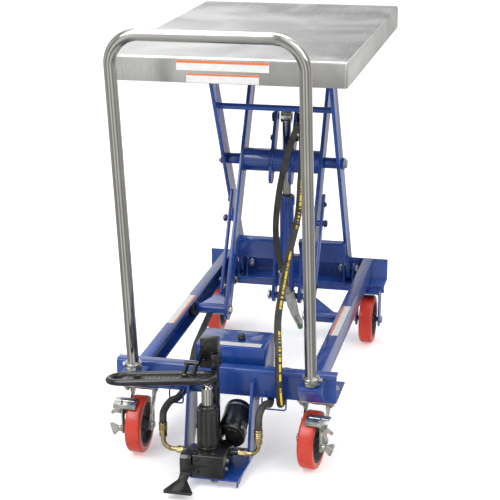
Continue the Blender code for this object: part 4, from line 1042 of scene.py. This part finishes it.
def canister():
    """The black canister beside the pump, cut back where the barrel and the block stand."""
    front, back = Vector((0.0292, -0.075, 0.084)), Vector((0.0292, 0.01, 0.1146))
    along = back - front
    length = along.length

    def drum(work):
        waist = 0.24 * length
        profile = [(0, 0), (0, 0.0215), (0.001, 0.0222), (0.001, 0.0262), (0, 0.027), (0, 0.0296),
                   (0.0006, 0.0309), (0.002, 0.0315), (waist - 0.002, 0.0315), (waist - 0.0006, 0.0309),
                   (waist, 0.0296), (waist, 0.029), (length - 0.006, 0.029), (length - 0.0026, 0.028),
                   (length - 0.0006, 0.0256), (length, 0.022), (length, 0)]
        lathe(work, profile, aim(P(*front), along), 80)
        rod = [(0, 0), (0, 0.0046), (0.0006, 0.0052), (0.0118, 0.0052), (0.0124, 0.0046), (0.0124, 0)]
        lathe(work, rod, aim(P(0.056, -0.0738, 0.1095), along), 28)

    made = piece("pump_motor_can", "black", "root", drum, replaces=["pump_canister"])
    room = bmesh.new()
    cube(room, (-0.04, -0.13, 0.04), (0.0182, -0.045, 0.15))
    cube(room, (-0.04, -0.16, 0.04), (0.034, -0.06, 0.074))
    mesh = bpy.data.meshes.new("can_room")
    room.to_mesh(mesh)
    room.free()
    tool = put("can_room", mesh)
    cut = made.modifiers.new("room", "BOOLEAN")
    cut.operation = "DIFFERENCE"
    cut.solver = "EXACT"
    cut.use_self = True
    cut.object = tool
    bpy.context.view_layer.update()
    graph = bpy.context.evaluated_depsgraph_get()
    shaped = bpy.data.meshes.new_from_object(made.evaluated_get(graph))
    made.modifiers.clear()
    made.data = shaped
    shaped.shade_smooth()
    shaped.set_sharp_from_angle(angle=math.radians(34))
    bpy.data.objects.remove(tool, do_unlink=True)

    def details(work):
        socket_head(work, P(0.056, -0.0742, 0.1094), (0, -along.y, -along.z), 0.004, 0.0034)
        where = aim(P(*(front + along * 0.8)), along)
        lathe(work, [(0, 0.0288), (0, 0.0294), (0.004, 0.0294), (0.004, 0.0288)], where, 72, ring=True)

    piece("pump_motor_trim", "zinc", "root", details)


def fasteners():
    """Cap screws and nuts on the pump, its tower and its cradle."""
    def dark(work):
        x, y = PUMP
        for place in ((-0.03, -0.14), (0.009, -0.14), (-0.03, -0.07)):
            socket_head(work, P(*place, 0.0715), (0, 0, 1), 0.0052, 0.005)
        for across in (-0.024, 0.006, 0.024):
            socket_head(work, P(across, -0.15, 0.062), (0, -1, 0), 0.0038, 0.0034)
        socket_head(work, P(-0.024, -0.15, 0.032), (0, -1, 0), 0.0038, 0.0034)
        for rise in (0.279, 0.291):
            socket_head(work, P(-0.023, -0.07, rise), (0, -1, 0), 0.0028, 0.0026)
        socket_head(work, P(-0.002, -0.0785, 0.258), (0, -1, 0), 0.0032, 0.0028)
        hex_head(work, P(0.0055, -0.062, 0.248), (1, 0, 0), 0.0048, 0.0042)
        socket_head(work, P(-0.028, -0.0655, 0.25), (0, -1, 0), 0.0034, 0.0028)
        hex_head(work, P(x - 0.0228, y, 0.118), (-1, 0, 0), 0.005, 0.0034)

    def bright(work):
        for place in ((0.032, -0.118, 0.05), (0.032, -0.125, 0.034)):
            socket_head(work, P(*place), (1, 0, 0), 0.0046, 0.0036)
        hex_head(work, P(0.0119, -0.1424, 0.0178), (0, 0, -1), 0.008, 0.0052, 0.0098)
        hex_head(work, P(-0.052, -0.07, 0.0178), (0, 0, -1), 0.0072, 0.005, 0.0088)
        socket_head(work, P(0.0619, -0.0751, 0.0172), (1, 0, 0), 0.0032, 0.0026)
        for rise in (0.038, 0.138):
            for across, way in ((0.067, 1), (-0.078, -1)):
                hex_head(work, P(across, 0.02, rise), (way, 0, 0), 0.0066, 0.0042, 0.0082)

    piece("pump_cap_screws", "black", "root", dark)
    piece("pump_bright_screws", "zinc", "root", bright)


def pedal():
    """A racetrack loop of round bar with a tread plate inside it, on two arms."""
    body = body_of("pump_pedal")
    radius, half_depth, slope = 0.007, 0.034, math.radians(9.0)
    column_pitch, row_pitch = 0.0098, 0.0108
    left, right = Vector((-0.214, -0.134, 0.2195)), Vector((0.005, -0.11, 0.2325))
    across = (right - left).normalized()
    back = Vector((-across.y, across.x, 0)).normalized()
    back = (back - Vector((0, 0, math.tan(slope)))).normalized()
    up = across.cross(back)
    middle = (left + right) / 2
    frame_of_tread = Matrix((across, back, up)).transposed().to_4x4()
    frame_of_tread.translation = P(*middle)

    def loop(work):
        points = []
        for centre, start in ((right - across * half_depth, -90), (left + across * half_depth, 90)):
            for step in range(25):
                angle = math.radians(start + 180 * step / 24)
                out = across * math.cos(angle) * half_depth + back * math.sin(angle) * half_depth
                points.append(P(*(centre + out)))
        sweep(work, points, radius - 0.0001, 24, closed=True)
        for x in (-0.064, -0.044):
            start, end = Vector((x, -0.096, 0.2255)), Vector((x, -0.062, 0.24))
            sweep(work, [P(*start.lerp(end, step / 6)) for step in range(7)], 0.005, 24)
        lathe(work, [(-0.07, 0.0044), (-0.0694, 0.005), (-0.0396, 0.005), (-0.039, 0.0044)],
              aim(P(0, -0.064, 0.24), (1, 0, 0)), 32)

    def tread(work):
        outline = rounded([(-0.08, -0.032), (0.08, -0.032), (0.08, 0.032), (-0.08, 0.032)], 0.004)
        prism(work, outline, 0.003, frame_of_tread @ Matrix.Translation((0, 0, -0.0015)), 0.0005)
        for row in range(5):
            for column in range(-7, 8):
                if row == 2 and abs(column) == 5:
                    continue
                turn = 45 if (row + column) % 2 else -45
                spot = Matrix.Translation((column_pitch * column, -0.0216 + row_pitch * row, 0.0014))
                spot = spot @ Matrix.Rotation(math.radians(turn), 4, "Z")
                prism(work, [(-0.0042, 0), (0, -0.0011), (0.0042, 0), (0, 0.0011)], 0.0008,
                      frame_of_tread @ spot)

    def bolts(work):
        for column in (-5, 5):
            place = frame_of_tread @ Vector((column_pitch * column, 0, 0.0015))
            hex_head(work, place, up, 0.0064, 0.0044, 0.008)

    piece("pedal_loop", "black", body, loop, replaces=["pump_pedal"])
    piece("pedal_tread", "black", body, tread)
    piece("pedal_bolts", "black", body, bolts)


# ---------------------------------------------------------------- hoses
HOSE = 0.0078                                                   # radius
PORT_Y = -0.09                                                  # the pump's two ports
LIFT_ROUTE = [
    (0.0935, -0.0900, 0.1135), (0.0935, -0.0900, 0.1220), (0.0930, -0.0830, 0.1400),
    (0.0945, -0.0640, 0.1500), (0.0975, -0.0340, 0.1480), (0.0995, -0.0060, 0.1362),
    (0.0940, 0.0300, 0.1366), (0.0740, 0.0850, 0.1368), (0.0720, 0.1450, 0.1368),
    (0.0980, 0.1780, 0.1368), (0.1240, 0.1500, 0.1368), (0.1265, 0.0850, 0.1368),
    (0.1240, 0.0350, 0.1368), (0.1235, 0.0000, 0.1362), (0.1255, -0.0230, 0.1510),
    (0.1235, -0.0260, 0.1900), (0.1210, -0.0200, 0.2650), (0.1060, 0.0500, 0.3110),
    (0.0960, 0.1600, 0.3560), (0.0900, 0.2600, 0.3950), (0.0960, 0.3200, 0.4600),
    (0.0940, 0.3600, 0.5300), (0.0900, 0.4000, 0.6050), (0.0740, 0.4500, 0.6400),
    (0.0480, 0.4950, 0.5950), (0.0230, 0.5200, 0.5200), (0.0030, 0.5450, 0.4300),
    (-0.0080, 0.5700, 0.3450), (-0.0060, 0.5950, 0.2700), (0.0005, 0.6120, 0.2250),
    (0.0010, 0.6150, 0.2150),
]
RETURN_ROUTE = [
    (-0.1130, -0.0900, 0.1110), (-0.1130, -0.0900, 0.1180), (-0.1135, -0.0800, 0.1330),
    (-0.1080, -0.0500, 0.1420), (-0.1000, -0.0150, 0.1375), (-0.0985, 0.0400, 0.1368),
    (-0.1080, 0.1200, 0.1368), (-0.1250, 0.2000, 0.1380), (-0.1370, 0.2700, 0.1410),
    (-0.1440, 0.3400, 0.1425), (-0.1520, 0.4200, 0.1420), (-0.1595, 0.5000, 0.1415),
    (-0.1620, 0.5800, 0.1410), (-0.1620, 0.6600, 0.1395), (-0.1610, 0.7200, 0.1382),
    (-0.1600, 0.7500, 0.1380), (-0.1600, 0.7585, 0.1380),
]


def route_points(route):
    """Points 4 mm apart along a hose, with its straight ends kept."""
    return [P(*route[0])] + [P(*point) for point in smooth_route(route[1:-1], 0.004)] + [P(*route[-1])]


def run(points):
    """The length of a line through points."""
    return sum((after - before).length for before, after in zip(points, points[1:]))


def hoses():
    """Both hoses and the tie on the lift hose, which runs between the chassis and the outer arms and rides
    on no body.
    """
    for name, route, node in (("lift_hose_cover", LIFT_ROUTE, "lift_hose"),
                              ("return_hose_cover", RETURN_ROUTE, "return_hose")):
        points = route_points(route)
        body = None if node == "lift_hose" else "root"
        made = piece(name, "hose", body, lambda work, points=points: sweep(work, points, HOSE, 28),
                     replaces=[node])
        if node == "lift_hose":
            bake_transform(made)

    def tie(work):
        points = route_points(LIFT_ROUTE)
        near = min(range(len(points)), key=lambda index: (points[index] - P(0.0945, 0.305, 0.445)).length)
        middle, along = points[near], points[near + 1] - points[near - 1]
        lathe(work, [(-0.003, HOSE - 0.0003), (-0.003, HOSE + 0.0009), (0.003, HOSE + 0.0009),
                     (0.003, HOSE - 0.0003)], aim(middle, along), 40, ring=True)
        where = aim(middle, along) @ Matrix.Translation((HOSE - 0.001, -0.0032, -0.0036))
        prism(work, [(0, 0), (0.0058, 0), (0.0058, 0.0064), (0, 0.0064)], 0.0072, where, 0.0006)

    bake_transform(piece("hose_tie", "nylon", None, tie))


def hydraulics():
    """Union nuts, bent pipes, crimped ferrules and the guides on the front member."""
    def crimp(work, where, low, high, radius=0.0092):
        profile, along = [(low, 0.0052), (low, radius - 0.0008), (low + 0.0008, radius)], low + 0.0026
        while along < high - 0.0042:
            profile += [(along, radius), (along + 0.0007, radius - 0.0008),
                        (along + 0.002, radius - 0.0008), (along + 0.0027, radius)]
            along += 0.004
        profile += [(high - 0.0008, radius), (high, radius - 0.0008), (high, 0.0052)]
        lathe(work, profile, where, 44, ring=True)

    def fitting(work, side, near, rise, bend_x, low, high):
        nut = aim(P(near, PORT_Y, rise), (side, 0, 0))
        width, elbow = 0.014, 0.02
        far = near + width * side
        lathe(work, [(0, 0.0066), (0.0008, 0.0078), (width - 0.0012, 0.0078), (width, 0.0064)], nut, 6)
        lathe(work, [(-0.0008, 0.0086), (0.0012, 0.0086)], nut, 32)
        lathe(work, [(width - 0.0004, 0.0062), (width + 0.003, 0.0058), (width + 0.0036, 0.0046)], nut, 32)
        pipe = [P(far - 0.003 * side, PORT_Y, rise), P(bend_x - elbow * side, PORT_Y, rise)]
        for step in range(1, 13):
            angle = math.radians(90 * step / 12)
            across, up = elbow * (1 - math.sin(angle)), elbow * (1 - math.cos(angle))
            pipe.append(P(bend_x - side * across, PORT_Y, rise + up))
        pipe.append(P(bend_x, PORT_Y, low + 0.004))
        sweep(work, pipe, 0.005, 24)
        post = upright(bend_x, PORT_Y)
        lathe(work, [(low - 0.015, 0.0048), (low - 0.015, 0.0074), (low - 0.0142, 0.0084),
                     (low - 0.001, 0.0084), (low + 0.0002, 0.0074), (low + 0.0002, 0.0048)],
              post, 6, ring=True)
        lathe(work, [(low - 0.0162, 0.0062), (low - 0.0148, 0.0066)], post, 32)
        crimp(work, post, low, high + 0.0008)

    piece("lift_hose_union", "brass", "root",
          lambda work: fitting(work, 1, 0.052, 0.057, 0.0935, 0.096, 0.113),
          replaces=["lift_hose_fitting"])
    piece("return_hose_union", "brass", "root",
          lambda work: fitting(work, -1, -0.069, 0.052, -0.113, 0.094, 0.1105),
          replaces=["return_hose_fitting"])
    piece("rear_hose_union", "brass", "root",
          lambda work: crimp(work, aim(P(-0.16, 0.747, 0.138), (0, 1, 0)), 0, 0.0182, 0.0094),
          replaces=["rear_hose_fitting"])

    def adaptors(work):
        for side, start, end, rise in ((1, 0.032, 0.0518, 0.057), (-1, 0.0355, 0.0688, 0.052)):
            where = aim(P(start * side, PORT_Y, rise), (side, 0, 0))
            length = end - start
            lathe(work, [(0, 0.0072), (0.0008, 0.008), (0.007, 0.008), (0.0078, 0.0072)], where, 6)
            lathe(work, [(0.0076, 0.0056), (length, 0.0056)], where, 32)

    piece("pump_adaptors", "black", "root", adaptors)

    def guide(work, near, far, reach, low):
        y, top, corner = -0.021, 0.156, 0.006
        line = [(near - reach, -0.0003, top), (near - reach, y, top), (near - reach, y, low),
                (far + reach, y, low), (far + reach, y, top), (far + reach, -0.0003, top)]
        points = [P(*line[0])]
        for index in range(1, len(line) - 1):
            back, here, ahead = (Vector(line[index + offset]) for offset in (-1, 0, 1))
            start = here + (back - here).normalized() * corner
            end = here + (ahead - here).normalized() * corner
            points += [P(*point) for point in bend(start, here, end, 8)]
        points.append(P(*line[-1]))
        sweep(work, points, 0.0018, 16)
        for end in (points[0], points[-1]):
            lathe(work, [(-0.0008, 0.0034), (0.001, 0.0028), (0.0022, 0.0018)],
                  aim(end + Vector((0, 0.0003, 0)), (0, -1, 0)), 20)

    piece("hose_loop_right", "blue", "root", lambda work: guide(work, 0.0985, 0.1255, 0.0125, 0.131),
          replaces=["hose_guide_right"])
    piece("hose_loop_left", "blue", "root", lambda work: guide(work, -0.1025, -0.1025, 0.015, 0.1272),
          replaces=["hose_guide_left"])


# ---------------------------------------------------------------- stage
VIEW_ANGLES = (12.94, 17.89, -0.32)                             # degrees round, down and of roll
VIEW_FROM = (0.668, -2.96853, 1.357)
LENS, SENSOR = 99.89, 36.0                                      # millimetres
LIGHTS = (                                                      # name, place, size, watts
    ("key", (-1.6, -2.2, 3.2), 2.2, 70.0),
    ("fill", (2.6, -1.4, 2.2), 2.4, 30.0),
    ("top", (0.0, 0.4, 3.4), 2.6, 45.0),
)


def studio():
    """A pale floor, soft lights, a bright room with bands for the metal to mirror, and the camera."""
    floor_mesh = bpy.data.meshes.new("floor")
    reach, level = 60.0, -0.0002
    corners = [(x * reach, y * reach, level) for x, y in ((-1, -1), (1, -1), (1, 1), (-1, 1))]
    floor_mesh.from_pydata(corners, [], [(0, 1, 2, 3)])
    floor = put("floor", floor_mesh)
    look = Look("floor", roughness=0.7)
    look.tint(look.noise(0.6, 3.0), (0.87, 0.87, 0.87), (0.91, 0.91, 0.91))
    look.shader.inputs["Emission Color"].default_value = (1.0, 1.0, 1.0, 1.0)
    look.shader.inputs["Emission Strength"].default_value = 0.32
    floor_mesh.materials.append(look.material)
    floor.visible_glossy = False

    scene = bpy.context.scene
    scene.world = scene.world or bpy.data.worlds.new("studio")
    scene.world.use_nodes = True
    room = Nodes(scene.world.node_tree)
    room.tree.nodes.clear()
    around = room.node("TexCoord").outputs["Generated"]
    height = room.node("SeparateXYZ", {"Vector": around}).outputs["Z"]
    tone = room.ramp(room.spread(height, 0.0, 1.0, -1.0, 1.0), [
        (0.05, (0.46, 0.46, 0.45)), (0.4, (0.78, 0.77, 0.75)), (0.52, (0.66, 0.66, 0.66)),
        (0.66, (0.92, 0.92, 0.93)), (0.9, (1.05, 1.05, 1.05)),
    ])
    inputs = {"Vector": around, "Scale": 0.4, "Distortion": 0.6}
    flags = room.node("TexWave", inputs, bands_direction="X").outputs["Fac"]
    shade = room.spread(flags, 0.42, 1.25, 0.0, 1.0)
    banded = room.mix(1.0, tone, shade, blend_type="MULTIPLY")
    background = room.node("Background", {"Color": banded, "Strength": 1.0}).outputs["Background"]
    room.node("OutputWorld", {"Surface": background})

    for name, place_at, size, power in LIGHTS:
        data = bpy.data.lights.new(name, "AREA")
        data.shape = "SQUARE"
        data.size = size
        data.energy = power
        light = put(name, data)
        light.location = place_at
        light.rotation_euler = (Vector((0, 0, 0.4)) - Vector(place_at)).to_track_quat("-Z", "Y").to_euler()

    azimuth, pitch, roll = (math.radians(angle) for angle in VIEW_ANGLES)
    ahead = Vector((-math.sin(azimuth), math.cos(azimuth), 0))
    forward = ahead * math.cos(pitch) - Vector((0, 0, math.sin(pitch)))
    side = Vector((math.cos(azimuth), math.sin(azimuth), 0))
    up = side.cross(forward)
    right = side * math.cos(roll) + up * math.sin(roll)
    head = -side * math.sin(roll) + up * math.cos(roll)
    lens = bpy.data.cameras.new("camera")
    lens.sensor_width = SENSOR
    lens.lens = LENS
    lens.clip_end = 200.0
    camera = put("camera", lens)
    turn = Matrix((right, head, -forward)).transposed().to_4x4()
    camera.matrix_world = Matrix.Translation(VIEW_FROM) @ turn
    bpy.context.scene.camera = camera
    scene.view_settings.view_transform = "Standard"


# ---------------------------------------------------------------- everything
studio()
make_looks()
hoses()
base_frame()
legs()
lowering_valve()
deck()
handle()
tank()
foot_pump()
